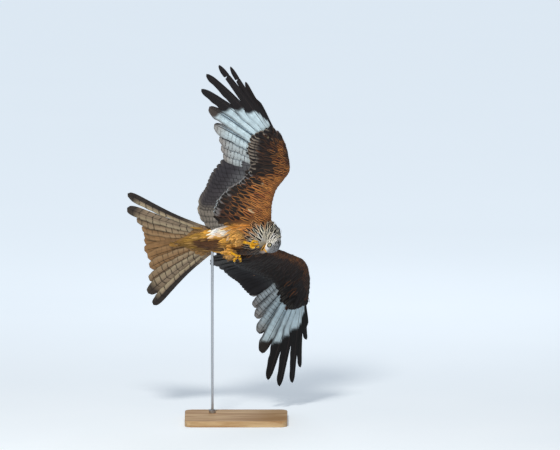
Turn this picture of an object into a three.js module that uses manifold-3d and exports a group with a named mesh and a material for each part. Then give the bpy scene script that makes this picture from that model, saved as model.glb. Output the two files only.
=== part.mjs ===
// A red kite in banking flight, life size, as a still display model on a flat wooden base
// with one steel rod. Millimetres, +Z up, the origin under the middle of the base.
//
// The bird is modelled in its own frame: +X towards its breast, +Y to its left, +Z to its
// back, with the origin between the shoulders. One group turns that frame into the banking
// attitude and lifts it onto the rod.

import * as THREE from 'three';
import { mergeVertices } from 'three/addons/utils/BufferGeometryUtils.js';
import Module from 'manifold-3d';

const wasm = await Module();
wasm.setup();

const { clamp, degToRad, lerp, smoothstep } = THREE.MathUtils;

// Attitude of the bird, in degrees, as a viewer in front of it sees it
const SPAN_LEAN = 13.06;
const SPAN_DEPTH = -26;
const BODY_RISE = 6.4;
const VIEW_DROP = 8;
// Place of the point between the shoulders over the base
const BIRD_PLACE = new THREE.Vector3(79, 0, 668);

// Gap between neighbouring pieces that touch
const GAP = 0.3;

// Stand
const BASE_SIZE = new THREE.Vector3(370, 290, 22);
const BASE_CORNER = 26;
const BASE_BEVEL = 2;
const ROD_RADIUS = 5;
const ROD_PLACE = new THREE.Vector2(-86, 62);
const COLLAR_RADIUS = 13;
const COLLAR_HEIGHT = 12;

// Torso: place along the body, height of the middle, half width, half depth
const TORSO_STATIONS = [
  [-198, 30, 43, 28],
  [-180, 28, 47, 33],
  [-140, 23, 54, 43],
  [-95, 16, 60, 51],
  [-45, 8, 62, 55],
  [0, 2, 58, 54],
  [34, 0, 48, 46],
  [58, -1, 34, 33],
  [70, -2, 17, 17],
];
const TORSO_SIDES = 20;

// Neck: middle line from inside the breast to the nape, with its radius
const NECK_STATIONS = [
  [14, 0, 4, 46],
  [34, -9, 6, 41],
  [50, -15, -3, 34],
  [58, -9, -20, 30],
  [58, 0, -35, 26],
  [56, 8, -46, 22],
];
const NECK_SIDES = 16;

// Head: its middle and its own directions in the bird's frame
const HEAD_PLACE = new THREE.Vector3(54.7, 13.6, -52.2);
const HEAD_FORWARD = new THREE.Vector3(-0.796, 0.292, -0.53).normalize();
const HEAD_UP = new THREE.Vector3(0.6, 0.504, -0.622).normalize();
// Head sections: place along the head, height of the middle, up, down and side extents
const HEAD_STATIONS = [
  [-42, -3, 5, 6, 6],
  [-36, -3, 14, 15, 15],
  [-25, -1.5, 21.5, 21, 22],
  [-11, 0, 26, 22.5, 25],
  [0, 0.5, 26, 21.5, 24.4],
  [9, 0, 23.5, 19, 21],
  [16, -0.5, 20, 15.8, 17],
  [21, -1.2, 16, 12.6, 13],
  [25, -2, 11, 9, 8.8],
];
const HEAD_SIDES = 18;
const BALL_SIDES = [10, 7];
const EYE_PLACE = new THREE.Vector3(3.5, 1.5, 16.4);
const EYE_RADIUS = 7.2;
const EYE_LOOK = new THREE.Vector3(0.3, 0.05, 1).normalize();
const LID_RADIUS = 7.6;
const LID_THICKNESS = 1.5;
const BROW_LENGTH = 24;
const BROW_HEIGHT = 4;
const GAPE_DEPTH = 24;
const GAPE_MIDDLE = [18, -13];
const GAPE_SLOPE = 0.31;
const NOSTRIL_SIZE = new THREE.Vector3(2.5, 1.3, 2.2);
const NOSTRIL_PLACE = new THREE.Vector3(26, 3, 6.6);

// Bill, in the head's directions: place along, height of the middle, up, down and side
const BILL_UPPER_STATIONS = [
  [12, -1.5, 8.8, 4.6, 8.6],
  [21, -1.2, 8.4, 5.4, 7.4],
  [29.5, -1.2, 7.8, 5.8, 6.2],
  [35.5, -2.2, 7, 5.8, 5],
  [41, -4.6, 5.8, 5.2, 3.9],
  [44.6, -8.8, 4.1, 3.8, 2.6],
  [46, -13.6, 2.1, 1.8, 1.5],
  [45.6, -17.2, 0.6, 0.5, 0.5],
];
const CERE_END = 2;
const BILL_LOWER_STATIONS = [
  [12, -11.6, 3.6, 4.6, 7.4],
  [21, -11, 3.3, 4, 6.3],
  [29.5, -10.9, 2.9, 3.5, 5],
  [35.5, -10.9, 2.3, 2.9, 3.7],
  [39.6, -10.9, 1.2, 1.6, 2],
];
const BILL_SIDES = 12;
const MOUTH_GAP = 0.7;

// Wing surface over the bird's own level: rise of the arm, of the hand, droop of the tips,
// and the nose-up twist that grows towards the tips
const WING_LOW = 8;
const ARM_RISE = { from: 0, to: 220, by: 112 };
const HAND_RISE = { from: 180, to: 440, by: 26 };
const TIP_DROOP = { from: 380, to: 700, by: 45 };
const TWIST_ROOT = 0.05;
const HAND_TWIST = { from: 140, to: 420, by: 0.28 };
const TWIST_LINE = -25;
// The fingers of the wing tip leave that surface past their middle, the front ones upward
const FINGER_RISE = { from: 430, to: 640, by: 0.55 };
const FINGER_RISE_START = 0.55;

// Where the flight feathers are rooted, in plan: along the body, out from the middle.
// The wrist and the end of the hand lie inside the leading edge by these insets.
const ELBOW = [-36, 98];
const WRIST_STATION = 5;
const WRIST_INSET = [26, 4];
const HAND_END_INSET = [12, 20];

// Places on each wing as the viewer sees them: across and up from the shoulders
const RIGHT_WING = {
  side: -1,
  primaryBow: 0.015,
  leadingEdge: [
    [50, 72], [50, 100], [53, 127], [67, 173], [92, 207], [114, 238], [115, 276],
    [103, 331], [84, 372],
  ],
  primaryTips: [
    [-126, 302], [-133, 331], [-139, 364], [-157, 410], [-175, 472], [-203, 535],
    [-185, 589], [-140, 621], [-99, 616], [-45, 562],
  ],
  trailingEdge: [[-137, 275], [-166, 238], [-180, 209], [-194, 173], [-209, 151], [-216, 133]],
};
const LEFT_WING = {
  side: 1,
  primaryBow: -0.01,
  leadingEdge: [
    [72, -40], [97, -49], [119, -58], [144, -68], [164, -78], [181, -104], [188, -142],
    [188, -170], [184, -200],
  ],
  primaryTips: [
    [-25, -209], [-14, -252], [-5, -292], [4, -347], [14, -418], [36, -515],
    [77, -538], [124, -526], [153, -470], [175, -369],
  ],
  trailingEdge: [[-32, -206], [-54, -184], [-72, -162], [-97, -144], [-115, -130], [-158, -99]],
};
// Flesh of the wing: thickness at each place of the leading edge, and its depth to the rear
const FLESH_THICKNESS = [38, 33, 27, 24, 22, 21, 19, 16, 11];
const FLESH_DEPTH = [118, 122, 112, 96, 88, 74, 60, 46, 30];
const FLESH_REAR_SHIFT = 6;
const FLESH_SIDES = 12;
const FLESH_ROOT_SHIFT = new THREE.Vector3(-8, -34, -14);

// Feathers
const SECONDARY_COUNT = 13;
const TERTIAL_TIPS = [[-172, 64], [-192, 80], [-206, 98], [-212, 116]];
const TERTIAL_ROOTS = [[-44, 52], [-42, 64], [-40, 76], [-38, 88]];
const TERTIAL_WIDTH = 0.9;
const PRIMARY_ROOT_STEP = 0.9;
const SECONDARY_BOW = 0.03;
const COVERT_BOW = 0.02;
const EDGE_THICKNESS = 0.55;
const SHAFT_THICKNESS = 0.95;
const LAYER_STEP = 1.6;
const LAYER_SLOPE_MOST = 0.14;
// Vane outlines: place along, width on the leading side, width on the trailing side
const INNER_PRIMARY_OUTLINE = [
  [0, 3, 3], [0.22, 8, 15], [0.5, 13, 27], [0.84, 15, 29], [0.96, 10, 16], [1, 3, 4],
];
const SECONDARY_OUTLINE = [[0, 3, 5], [0.3, 11, 22], [0.88, 13, 25], [0.97, 8, 15], [1, 3, 5]];
const COVERT_OUTLINE = [[0, 4, 6], [0.5, 9, 13], [0.9, 9, 11], [1, 4, 5]];
// The fingers, from the inner one to the one at the leading edge: where the slot beside each
// begins, as a share of its length, and how wide it is past that
const FINGER_FIRST = 6;
const FINGERS = [[0.76, 1.2], [0.6, 1.1], [0.54, 0.9], [0.5, 0.72], [0.7, 0.65]];

// Tail: the level it spreads on, and the places of its feather tips as the viewer sees them
const TAIL_ROOT = -165;
const TAIL_ROOT_HALF_WIDTH = 28;
const TAIL_SPREAD_FROM = -208;
const TAIL_LEVEL = 30;
const TAIL_TIP_RISE = 8;
const TAIL_DROOP = 0.13;
const TAIL_LENGTH = 225;
const TAIL_SIDES = 14;
const TAIL_CORE_STATIONS = [
  [-198, 30, 43, 28],
  [-222, 30, 38, 20],
  [-250, 30, 30, 13],
  [-280, 31, 20, 8],
  [-306, 32, 10, 4],
];
// A flat base, wider than the core, in which the outer feathers are rooted
const TAIL_BASE_STATIONS = [
  [-188, 30, 57, 7],
  [-214, 30, 55, 6],
  [-240, 31, 46, 4],
  [-262, 31.5, 32, 2.5],
];
const RIGHT_TAIL_TIPS = [[-412, -8], [-413, 15], [-420, 38], [-438, 70], [-472, 108], [-470, 160]];
const LEFT_TAIL_TIPS = [[-410, -46], [-398, -72], [-391, -106], [-391, -154], [-397, -200], [-378, -242]];
const RECTRIX_OUTLINE = [
  [0, 3, 3], [0.3, 13, 15], [0.85, 22, 24], [0.96, 16, 17], [1, 6, 7],
];
const OUTER_RECTRIX_NARROW = 0.78;
const TAIL_ROOT_MIDDLE = 3;
const TAIL_BOW = 0.035;
const MIDDLE_PAIR_LIFT = 0.8;

// Legs: ankle, foot and toe places in the bird's frame
const RIGHT_LEG = {
  side: -1,
  hip: [-78, -30, -8],
  knee: [-58, -30, -34],
  ankle: [-40, -17, -54],
  foot: [-10, -13, -69],
  toes: [
    [[-3, -25, -74], [6, -26, -73], [13, -18, -66]],
    [[2, -15, -78], [12, -15, -76], [15, -9, -68]],
    [[0, -6, -76], [10, -3, -75], [13, 2, -68]],
    [[-12, -10, -79], [-5, -7, -87], [4, -8, -87]],
  ],
};
const LEFT_LEG = {
  side: 1,
  hip: [-98, 34, -2],
  knee: [-100, 32, -34],
  ankle: [-96, 17, -58],
  foot: [-68, 25, -80],
  toes: [
    [[-63, 33, -85], [-58, 38, -90], [-61, 36, -98]],
    [[-61, 28, -88], [-56, 29, -94], [-60, 27, -102]],
    [[-62, 20, -87], [-57, 17, -92], [-60, 16, -100]],
    [[-73, 26, -90], [-79, 28, -99], [-76, 31, -106]],
  ],
};
const THIGH_RADII = [26, 23, 11];
const SHANK_RADII = [5.4, 4.3, 4.8];
const TOE_RADII = [4.4, 3.9, 3.5, 3];
const CLAW_LENGTH = 15;
const CLAW_RADIUS = 2.5;
const LEG_SIDES = 10;
const TOE_SIDES = 6;
const CLAW_SIDES = 5;

const point = (x, y, z) => new THREE.Vector3(x, y, z);

// Solids from rings of points, and joins and cuts

function triangleVolume(positions, index) {
  const [a, b, c] = [new THREE.Vector3(), new THREE.Vector3(), new THREE.Vector3()];
  let volume = 0;
  for (let i = 0; i < index.length; i += 3) {
    a.fromArray(positions, 3 * index[i]);
    b.fromArray(positions, 3 * index[i + 1]);
    c.fromArray(positions, 3 * index[i + 2]);
    volume += a.dot(b.cross(c)) / 6;
  }
  return volume;
}

// A closed geometry from its corners and triangles, turned to face outward
function closedGeometry(positions, index) {
  const faces = [...index];
  if (triangleVolume(positions, faces) < 0) {
    for (let i = 0; i < faces.length; i += 3) {
      [faces[i + 1], faces[i + 2]] = [faces[i + 2], faces[i + 1]];
    }
  }
  const geometry = new THREE.BufferGeometry();
  geometry.setAttribute('position', new THREE.Float32BufferAttribute(positions, 3));
  geometry.setIndex(faces);
  return geometry;
}

// A skin over rings of equal counts, closed by a fan about the middle of each end ring
function loft(rings) {
  const count = rings[0].length;
  const positions = [];
  const index = [];
  rings.flat().forEach((p) => positions.push(p.x, p.y, p.z));
  for (let r = 0; r + 1 < rings.length; r += 1) {
    for (let j = 0; j < count; j += 1) {
      const k = (j + 1) % count;
      const [a, b] = [r * count + j, r * count + k];
      const [c, d] = [a + count, b + count];
      index.push(a, b, d, a, d, c);
    }
  }
  const ends = [[0, rings[0], true], [(rings.length - 1) * count, rings.at(-1), false]];
  ends.forEach(([start, ring, first]) => {
    const middle = ring.reduce((sum, p) => sum.add(p), point(0, 0, 0)).divideScalar(count);
    const hub = positions.length / 3;
    positions.push(middle.x, middle.y, middle.z);
    for (let j = 0; j < count; j += 1) {
      const [a, b] = [start + j, start + ((j + 1) % count)];
      index.push(hub, ...(first ? [b, a] : [a, b]));
    }
  });
  return closedGeometry(positions, index);
}

function toSolid(geometry) {
  const bare = geometry.clone();
  bare.deleteAttribute('normal');
  bare.deleteAttribute('uv');
  const merged = mergeVertices(bare, 1e-4);
  return new wasm.Manifold(new wasm.Mesh({
    numProp: 3,
    vertProperties: new Float32Array(merged.attributes.position.array),
    triVerts: new Uint32Array(merged.index.array),
  }));
}

function toGeometry(solid) {
  const mesh = solid.getMesh();
  const geometry = new THREE.BufferGeometry();
  geometry.setAttribute('position', new THREE.BufferAttribute(mesh.vertProperties, 3));
  geometry.setIndex(new THREE.BufferAttribute(mesh.triVerts, 1));
  return geometry;
}

const join = (solids) => solids.reduce((whole, solid) => whole.add(solid));
const cut = (solid, tools) => tools.reduce((rest, tool) => rest.subtract(tool), solid);

// The largest closed surface of a solid
function largest(solid) {
  const pieces = solid.decompose();
  return pieces.reduce((best, piece) => (piece.volume() > best.volume() ? piece : best));
}

// The bird's attitude

function birdBasis() {
  const lean = degToRad(SPAN_LEAN);
  const depth = degToRad(SPAN_DEPTH);
  const rise = degToRad(BODY_RISE);
  const right = point(
    -Math.sin(lean) * Math.cos(depth), Math.sin(depth), Math.cos(lean) * Math.cos(depth));
  const across = point(Math.cos(rise), 0, Math.sin(rise));
  const bodyDepth = Math.atan(-across.dot(right) / Math.sin(depth));
  const forward = across.multiplyScalar(Math.cos(bodyDepth));
  forward.y = Math.sin(bodyDepth);
  forward.normalize();
  const back = right.clone().cross(forward);
  return { forward, right, back };
}

const BASIS = birdBasis();

function birdMatrix() {
  const attitude = new THREE.Matrix4().makeBasis(
    BASIS.forward, BASIS.right.clone().negate(), BASIS.back);
  const drop = new THREE.Matrix4().makeRotationX(-degToRad(VIEW_DROP));
  const place = new THREE.Matrix4().makeTranslation(BIRD_PLACE);
  return place.multiply(drop).multiply(attitude);
}

// The plan place on a surface that is seen at (across, up), for the side -1 right or 1 left
function seenPlace(surface, [across, up], side) {
  const { forward, right, back } = BASIS;
  let z = surface(0, 150);
  let [x, y] = [0, 0];
  for (let turn = 0; turn < 80; turn += 1) {
    const a = across - back.x * z;
    const b = up - back.z * z;
    const det = forward.x * -right.z + right.x * forward.z;
    x = (a * -right.z + right.x * b) / det;
    y = (forward.x * b - forward.z * a) / det;
    z = lerp(z, surface(x, Math.abs(y)), 0.5);
  }
  return [x, side * y];
}

// Surfaces that feathers lie on, for the left side, as a height over the plan

const ramp = (y, { from, to, by }) => by * smoothstep(y, from, to);

function wingHeight(x, y) {
  const twist = TWIST_ROOT + ramp(y, HAND_TWIST);
  const level = WING_LOW + ramp(y, ARM_RISE) + ramp(y, HAND_RISE) - ramp(y, TIP_DROOP);
  return level + twist * (x - TWIST_LINE);
}

const fingerRise = (x, y) => ramp(y, FINGER_RISE) * (x - TWIST_LINE);
const fingerHeight = (x, y) => wingHeight(x, y) + fingerRise(x, y);

function tailHeight(x, y) {
  const along = clamp((TAIL_SPREAD_FROM - x) / TAIL_LENGTH, 0, 1.2);
  return TAIL_LEVEL + along * (TAIL_TIP_RISE - TAIL_DROOP * Math.abs(y));
}

function surfaceNormal(surface, x, y) {
  const step = 1;
  const slopeX = (surface(x + step, y) - surface(x - step, y)) / (2 * step);
  const slopeY = (surface(x, y + step) - surface(x, y - step)) / (2 * step);
  return point(-slopeX, -slopeY, 1).normalize();
}

const onSurface = (surface, x, y, lift) =>
  point(x, y, surface(x, y)).addScaledVector(surfaceNormal(surface, x, y), lift);

const mix = (a, b, t) => [lerp(a[0], b[0], t), lerp(a[1], b[1], t)];

// Feathers. Each has a root and a tip in space, and its shaft bows towards its leading side.
// The vanes of a row follow the surface that the row lies on.

function inRow(feathers, bow, surface) {
  const set = feathers.map((feather) => ({ ...feather, bow, surface }));
  set.forEach((feather, i) => {
    feather.neighbour = set[i + 1] ?? set[i - 1];
  });
  return set;
}

function shaftPoint({ root, tip, bow, rise = 0 }, t) {
  const chord = tip.clone().sub(root);
  const side = point(chord.y, -chord.x, 0);
  const lifted = clamp((t - FINGER_RISE_START) / (1 - FINGER_RISE_START), 0, 1.2) ** 2;
  const p = root.clone().addScaledVector(chord, t).addScaledVector(side, 4 * bow * t * (1 - t));
  p.z += rise * lifted;
  return p;
}

// Directions at a share of a feather's length, and its tilt, which lets it clear the next
function shaftFrame(feather, t) {
  const middle = shaftPoint(feather, t);
  const along = shaftPoint(feather, t + 0.01).sub(middle).setZ(0).normalize();
  const side = point(along.y, -along.x, 0);
  const space = Math.abs(shaftPoint(feather.neighbour, t).sub(middle).dot(side));
  const tilt = Math.min(LAYER_STEP / Math.max(space, 1), LAYER_SLOPE_MOST);
  return { middle, side, normal: surfaceNormal(feather.surface, middle.x, middle.y), tilt };
}

// The point beside a shaft at an offset, as far off the surface as the shaft is
function besideShaft({ surface }, { middle, side }, offset) {
  const p = middle.clone().addScaledVector(side, offset);
  p.z += surface(p.x, p.y) - surface(middle.x, middle.y);
  return p;
}

// Faces of a blade whose stations have some points below and the same above
function vaneFaces(stations, columns) {
  const index = [];
  const width = 2 * columns;
  for (let i = 0; i + 1 < stations; i += 1) {
    const [n, m] = [width * i, width * (i + 1)];
    for (let j = 0; j + 1 < columns; j += 1) {
      const [a, b, c, d] = [n + j, n + j + 1, m + j, m + j + 1];
      index.push(a, b, d, a, d, c);
      const [e, f, g, h] = [a + columns, b + columns, c + columns, d + columns];
      index.push(e, h, f, e, g, h);
    }
    const [r, s] = [n + columns - 1, m + columns - 1];
    index.push(r, r + columns, s + columns, r, s + columns, s);
    index.push(n + columns, n, m, n + columns, m, m + columns);
  }
  const last = width * (stations - 1);
  for (let j = 0; j + 1 < columns; j += 1) {
    const [a, b] = [j, j + 1];
    index.push(a, b + columns, b, a, a + columns, b + columns);
    index.push(last + a, last + b, last + b + columns);
    index.push(last + a, last + b + columns, last + a + columns);
  }
  return index;
}

// One vane: a thin blade, with a shaft ridge on a flight feather
function vane(feather) {
  const { outline, ridged, widen = 1 } = feather;
  const positions = [];
  outline.forEach(([t, lead, trail]) => {
    const frame = shaftFrame(feather, t);
    const columns = [[lead * widen, EDGE_THICKNESS], [-trail * widen, EDGE_THICKNESS]];
    if (ridged) {
      columns.splice(1, 0, [0, SHAFT_THICKNESS]);
    }
    [-0.5, 0.5].forEach((face) => columns.forEach(([offset, thickness]) => {
      const p = besideShaft(feather, frame, offset)
        .addScaledVector(frame.normal, frame.tilt * offset + face * thickness);
      positions.push(p.x, p.y, p.z);
    }));
  });
  return closedGeometry(positions, vaneFaces(outline.length, ridged ? 3 : 2));
}

// A row of coverts over (side 1) or under (side -1) a row of flight feathers
function coverts(feathers, { start, reach, lift, tipLift, side, widen = 1 }) {
  const place = (feather, t, height) => {
    const { middle, normal } = shaftFrame(feather, t);
    return middle.addScaledVector(normal, side * height);
  };
  return inRow(feathers.map((feather) => ({
    root: place(feather, start, lift),
    tip: place(feather, reach, tipLift),
    outline: COVERT_OUTLINE,
    widen,
  })), COVERT_BOW, feathers[0].surface);
}

const everyOther = (feathers) => feathers.filter((feather, i) => i % 2 === 0);
const vaneSolids = (feathers) => feathers.map((feather) => toSolid(vane(feather)));

// The wing, built on the left side

function planCurve(points) {
  const curve = new THREE.CatmullRomCurve3(points.map(([x, y]) => point(x, y, 0)));
  return (t) => {
    const p = curve.getPoint(t);
    return [p.x, p.y];
  };
}

function wingPlan(wing) {
  const edge = wing.leadingEdge.map((place) => seenPlace(wingHeight, place, wing.side));
  const inset = ([x, y], [dx, dy]) => [x - dx, y - dy];
  return {
    edge,
    wrist: inset(edge[WRIST_STATION], WRIST_INSET),
    handEnd: inset(edge.at(-1), HAND_END_INSET),
  };
}

const onWing = ([x, y], lift = 0) => onSurface(wingHeight, x, y, lift);

function wingFlesh({ edge }) {
  const rings = edge.map((front, i) => {
    const rear = [front[0] - FLESH_DEPTH[i], front[1] - FLESH_REAR_SHIFT];
    const half = FLESH_THICKNESS[i] / 2;
    return Array.from({ length: FLESH_SIDES }, (unused, j) => {
      const turn = (2 * Math.PI * j) / FLESH_SIDES;
      const along = (1 - Math.cos(turn)) / 2;
      return onWing(mix(front, rear, along), half * Math.sin(turn) * (1.2 - 0.5 * along));
    });
  });
  const root = rings[0].map((p) => p.clone().add(FLESH_ROOT_SHIFT));
  return loft([root, ...rings]);
}

// A primary whose vanes narrow past a slot, to end as a finger of the wing tip
function fingerOutline([slot, widen]) {
  const past = [[slot + 0.04, 9, 20], [0.93, 8, 14.5], [1, 2.5, 4]];
  return [
    [0, 3, 3], [0.22, 7, 12], [slot - 0.08, 13, 29],
    ...past.map(([t, lead, trail]) => [t, lead * widen, trail * widen]),
  ];
}

function primaries(wing, { wrist, handEnd }) {
  const last = wing.primaryTips.length - 1;
  return inRow(wing.primaryTips.map((seen, i) => {
    const tip = seenPlace(fingerHeight, seen, wing.side);
    return {
      root: onWing(mix(wrist, handEnd, (i + 0.5) / (last + 0.5)), PRIMARY_ROOT_STEP * (last / 2 - i)),
      tip: onWing(tip),
      rise: fingerRise(...tip),
      outline: i + 1 < FINGER_FIRST ? INNER_PRIMARY_OUTLINE : fingerOutline(FINGERS[i + 1 - FINGER_FIRST]),
      ridged: true,
    };
  }), wing.primaryBow, wingHeight);
}

function armFeathers(wing, { wrist }) {
  const edge = planCurve(wing.trailingEdge.map((p) => seenPlace(wingHeight, p, wing.side)));
  const feathers = TERTIAL_ROOTS.map((root, i) => ({
    root: onWing(root),
    tip: onWing(TERTIAL_TIPS[i]),
    widen: TERTIAL_WIDTH,
  }));
  for (let i = 0; i < SECONDARY_COUNT; i += 1) {
    const t = i / (SECONDARY_COUNT - 1);
    feathers.push({ root: onWing(mix(ELBOW, wrist, t)), tip: onWing(edge(1 - t)) });
  }
  const form = { outline: SECONDARY_OUTLINE, ridged: true };
  return inRow(feathers.map((feather) => ({ ...form, ...feather })), SECONDARY_BOW, wingHeight);
}

function wingSolid(wing, tools) {
  const plan = wingPlan(wing);
  const hand = primaries(wing, plan);
  const arm = armFeathers(wing, plan);
  const [handSome, armSome] = [hand, arm].map(everyOther);
  const rows = [
    hand,
    arm,
    coverts(handSome, { start: 0.02, reach: 0.36, lift: 4.8, tipLift: 4.8, side: 1, widen: 1.5 }),
    coverts(handSome, { start: 0.02, reach: 0.36, lift: 5.2, tipLift: 5.2, side: -1, widen: 1.5 }),
    coverts(armSome, { start: 0.03, reach: 0.44, lift: 5.6, tipLift: 5, side: 1, widen: 1.6 }),
    coverts(armSome, { start: 0.03, reach: 0.4, lift: 6, tipLift: 5.6, side: -1, widen: 1.6 }),
  ];
  const whole = join([toSolid(wingFlesh(plan)), ...rows.flatMap(vaneSolids)]);
  const sided = wing.side < 0 ? whole.mirror([0, 1, 0]) : whole;
  return largest(cut(sided, tools));
}

// The tail

function rectrices(tips, side) {
  const last = tips.length - 1;
  return inRow(tips.map((place, i) => {
    const share = i / last;
    const [x, y] = seenPlace(tailHeight, place, side);
    const rootY = TAIL_ROOT_MIDDLE + TAIL_ROOT_HALF_WIDTH * share;
    return {
      root: onSurface(tailHeight, TAIL_ROOT + 6 * share, rootY, 0),
      tip: onSurface(tailHeight, x, Math.max(y, TAIL_ROOT_MIDDLE), 0),
      outline: RECTRIX_OUTLINE,
      widen: i === last ? OUTER_RECTRIX_NARROW : 1,
      ridged: true,
    };
  }), -TAIL_BOW, tailHeight);
}

function tailSide(tips, side) {
  const feathers = rectrices(tips, side);
  const some = everyOther(feathers);
  const rows = [
    feathers,
    coverts(some, { start: 0.12, reach: 0.4, lift: 5, tipLift: 4.4, side: 1, widen: 1.9 }),
    coverts(some, { start: 0.12, reach: 0.46, lift: 5.4, tipLift: 4.8, side: -1, widen: 2 }),
  ];
  const lift = side < 0 ? MIDDLE_PAIR_LIFT : -MIDDLE_PAIR_LIFT;
  const solids = rows.flatMap(vaneSolids).map((solid) => solid.translate([0, 0, lift]));
  return side < 0 ? solids.map((solid) => solid.mirror([0, 1, 0])) : solids;
}

// A plump core and a flat base where the feathers of the tail come together
function tailRoots() {
  return [TAIL_CORE_STATIONS, TAIL_BASE_STATIONS]
    .map((stations) => loft(stations.map((station) => bodyRing(station, TAIL_SIDES, 0))));
}

function tailSolid(tools) {
  const feathers = [...tailSide(RIGHT_TAIL_TIPS, -1), ...tailSide(LEFT_TAIL_TIPS, 1)];
  return largest(cut(join([...tailRoots().map(toSolid), ...feathers]), tools));
}

// Torso, neck and head

function bodyRing([x, z, half, depth], sides, grow) {
  return Array.from({ length: sides }, (unused, j) => {
    const turn = (2 * Math.PI * j) / sides;
    return point(x, (half + grow) * Math.cos(turn), z + (depth + grow) * Math.sin(turn));
  });
}

function torso(grow = 0) {
  return loft(TORSO_STATIONS.map((station) => bodyRing(station, TORSO_SIDES, grow)));
}

// Rings square to a line of points, each with its own radius
function tube(stations, sides, grow = 0) {
  const centres = stations.map(([x, y, z]) => point(x, y, z));
  let across = point(0, 1, 0);
  return loft(stations.map(([, , , radius], i) => {
    const from = centres[Math.max(i - 1, 0)];
    const to = centres[Math.min(i + 1, centres.length - 1)];
    const along = to.clone().sub(from).normalize();
    across = across.clone().addScaledVector(along, -across.dot(along)).normalize();
    const up = along.clone().cross(across);
    return Array.from({ length: sides }, (unused, j) => {
      const turn = (2 * Math.PI * j) / sides;
      return centres[i].clone()
        .addScaledVector(across, (radius + grow) * Math.cos(turn))
        .addScaledVector(up, (radius + grow) * Math.sin(turn));
    });
  }));
}

const HEAD_RIGHT = HEAD_FORWARD.clone().cross(HEAD_UP);

function headMatrix() {
  return new THREE.Matrix4()
    .makeBasis(HEAD_FORWARD, HEAD_UP, HEAD_RIGHT)
    .setPosition(HEAD_PLACE);
}

// A ring of the head or bill: place along, height, then up, down and side extents
function headRing([along, height, up, down, side], sides, grow) {
  return Array.from({ length: sides }, (unused, j) => {
    const turn = (2 * Math.PI * j) / sides;
    const rise = Math.sin(turn);
    const extent = (rise > 0 ? up : down) + grow;
    return point(along, height + extent * rise, (side + grow) * Math.cos(turn));
  });
}

function headSkull(grow = 0) {
  return loft(HEAD_STATIONS.map((station) => headRing(station, HEAD_SIDES, grow)));
}

// A turn that lays the z axis along the way an eye looks
function eyeMatrix(side) {
  const look = EYE_LOOK.clone();
  look.z *= side;
  const turn = new THREE.Quaternion().setFromUnitVectors(point(0, 0, 1), look);
  const place = EYE_PLACE.clone();
  place.z *= side;
  return new THREE.Matrix4().compose(place, turn, point(1, 1, 1));
}

function eyeBall(side, grow = 0) {
  const ball = new THREE.SphereGeometry(EYE_RADIUS + grow, ...BALL_SIDES);
  return ball.rotateX(Math.PI / 2).applyMatrix4(eyeMatrix(side));
}

// Two lids: a rolled rim round the eye, a little proud of the face
function lidRim(side) {
  const rim = new THREE.TorusGeometry(LID_RADIUS, LID_THICKNESS, 4, 12);
  rim.scale(1, 0.92, 1).translate(0, 0, 4.6);
  return rim.applyMatrix4(eyeMatrix(side));
}

// The ridge of the brow that shades the eye
function brow(side) {
  const ridge = new THREE.SphereGeometry(1, 8, 5);
  ridge.scale(BROW_LENGTH / 2, BROW_HEIGHT / 2, 4);
  ridge.rotateZ(-0.2);
  return ridge.translate(EYE_PLACE.x + 1, EYE_PLACE.y + 9.2, side * 19);
}

// The line of the mouth, cut back into the face under the eye
function gapeCut() {
  const slot = new THREE.BoxGeometry(GAPE_DEPTH, MOUTH_GAP * 1.6, 60);
  slot.rotateZ(GAPE_SLOPE);
  return slot.translate(...GAPE_MIDDLE, 0);
}

function inHead(solid) {
  return solid.transform(headMatrix().elements);
}

function headSolid() {
  const sides = [-1, 1];
  const forms = sides.flatMap((side) => [lidRim(side), brow(side)]).map(toSolid);
  const whole = join([toSolid(headSkull()), ...forms]);
  const hollows = [...sides.map((side) => eyeBall(side, GAP)), gapeCut()].map(toSolid);
  return largest(cut(whole, hollows));
}

function nostril(side) {
  const pit = new THREE.SphereGeometry(1, 6, 4);
  pit.scale(NOSTRIL_SIZE.x, NOSTRIL_SIZE.y, NOSTRIL_SIZE.z);
  return pit.translate(NOSTRIL_PLACE.x, NOSTRIL_PLACE.y, side * NOSTRIL_PLACE.z);
}

function billSolids(head) {
  const face = [toSolid(headSkull(GAP)), head];
  const rings = BILL_UPPER_STATIONS.map((station) => headRing(station, BILL_SIDES, 0));
  const seam = BILL_UPPER_STATIONS[CERE_END];
  const after = [seam[0] + GAP, ...seam.slice(1)];
  const tipRings = [headRing(after, BILL_SIDES, 0), ...rings.slice(CERE_END + 1)];
  const nostrils = [-1, 1].map(nostril).map(toSolid);
  const lowerRings = BILL_LOWER_STATIONS.map((station) => headRing(station, BILL_SIDES, 0));
  const upper = toSolid(loft(tipRings));
  const cere = largest(cut(toSolid(loft(rings.slice(0, CERE_END + 1))), [...face, ...nostrils]));
  const above = rings.map((ring) => ring.map((p) => p.clone().add(point(0, -MOUTH_GAP, 0))));
  const lower = cut(toSolid(loft(lowerRings)), [...face, toSolid(loft(above))]);
  return { upper, cere, lower: largest(lower) };
}

// Legs

function thigh(leg, grow = 0) {
  const places = [leg.hip, leg.knee, leg.ankle];
  return tube(places.map((place, i) => [...place, THIGH_RADII[i]]), LEG_SIDES, grow);
}

function shank(leg, grow = 0) {
  const past = mixPlaces(leg.knee, leg.ankle, 0.85);
  const middle = mixPlaces(leg.ankle, leg.foot, 0.5);
  const places = [past, middle, leg.foot];
  return tube(places.map((place, i) => [...place, SHANK_RADII[i]]), LEG_SIDES, grow);
}

const mixPlaces = (a, b, t) => a.map((value, i) => lerp(value, b[i], t));

function toe(leg, joints) {
  const places = [leg.foot, ...joints];
  return tube(places.map((place, i) => [...place, TOE_RADII[i]]), TOE_SIDES);
}

function footSolid(leg) {
  const palm = new THREE.SphereGeometry(6.4, 8, 6).translate(...leg.foot);
  const whole = join([toSolid(palm), ...leg.toes.map((joints) => toSolid(toe(leg, joints)))]);
  return largest(cut(whole, [toSolid(shank(leg, GAP))]));
}

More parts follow.
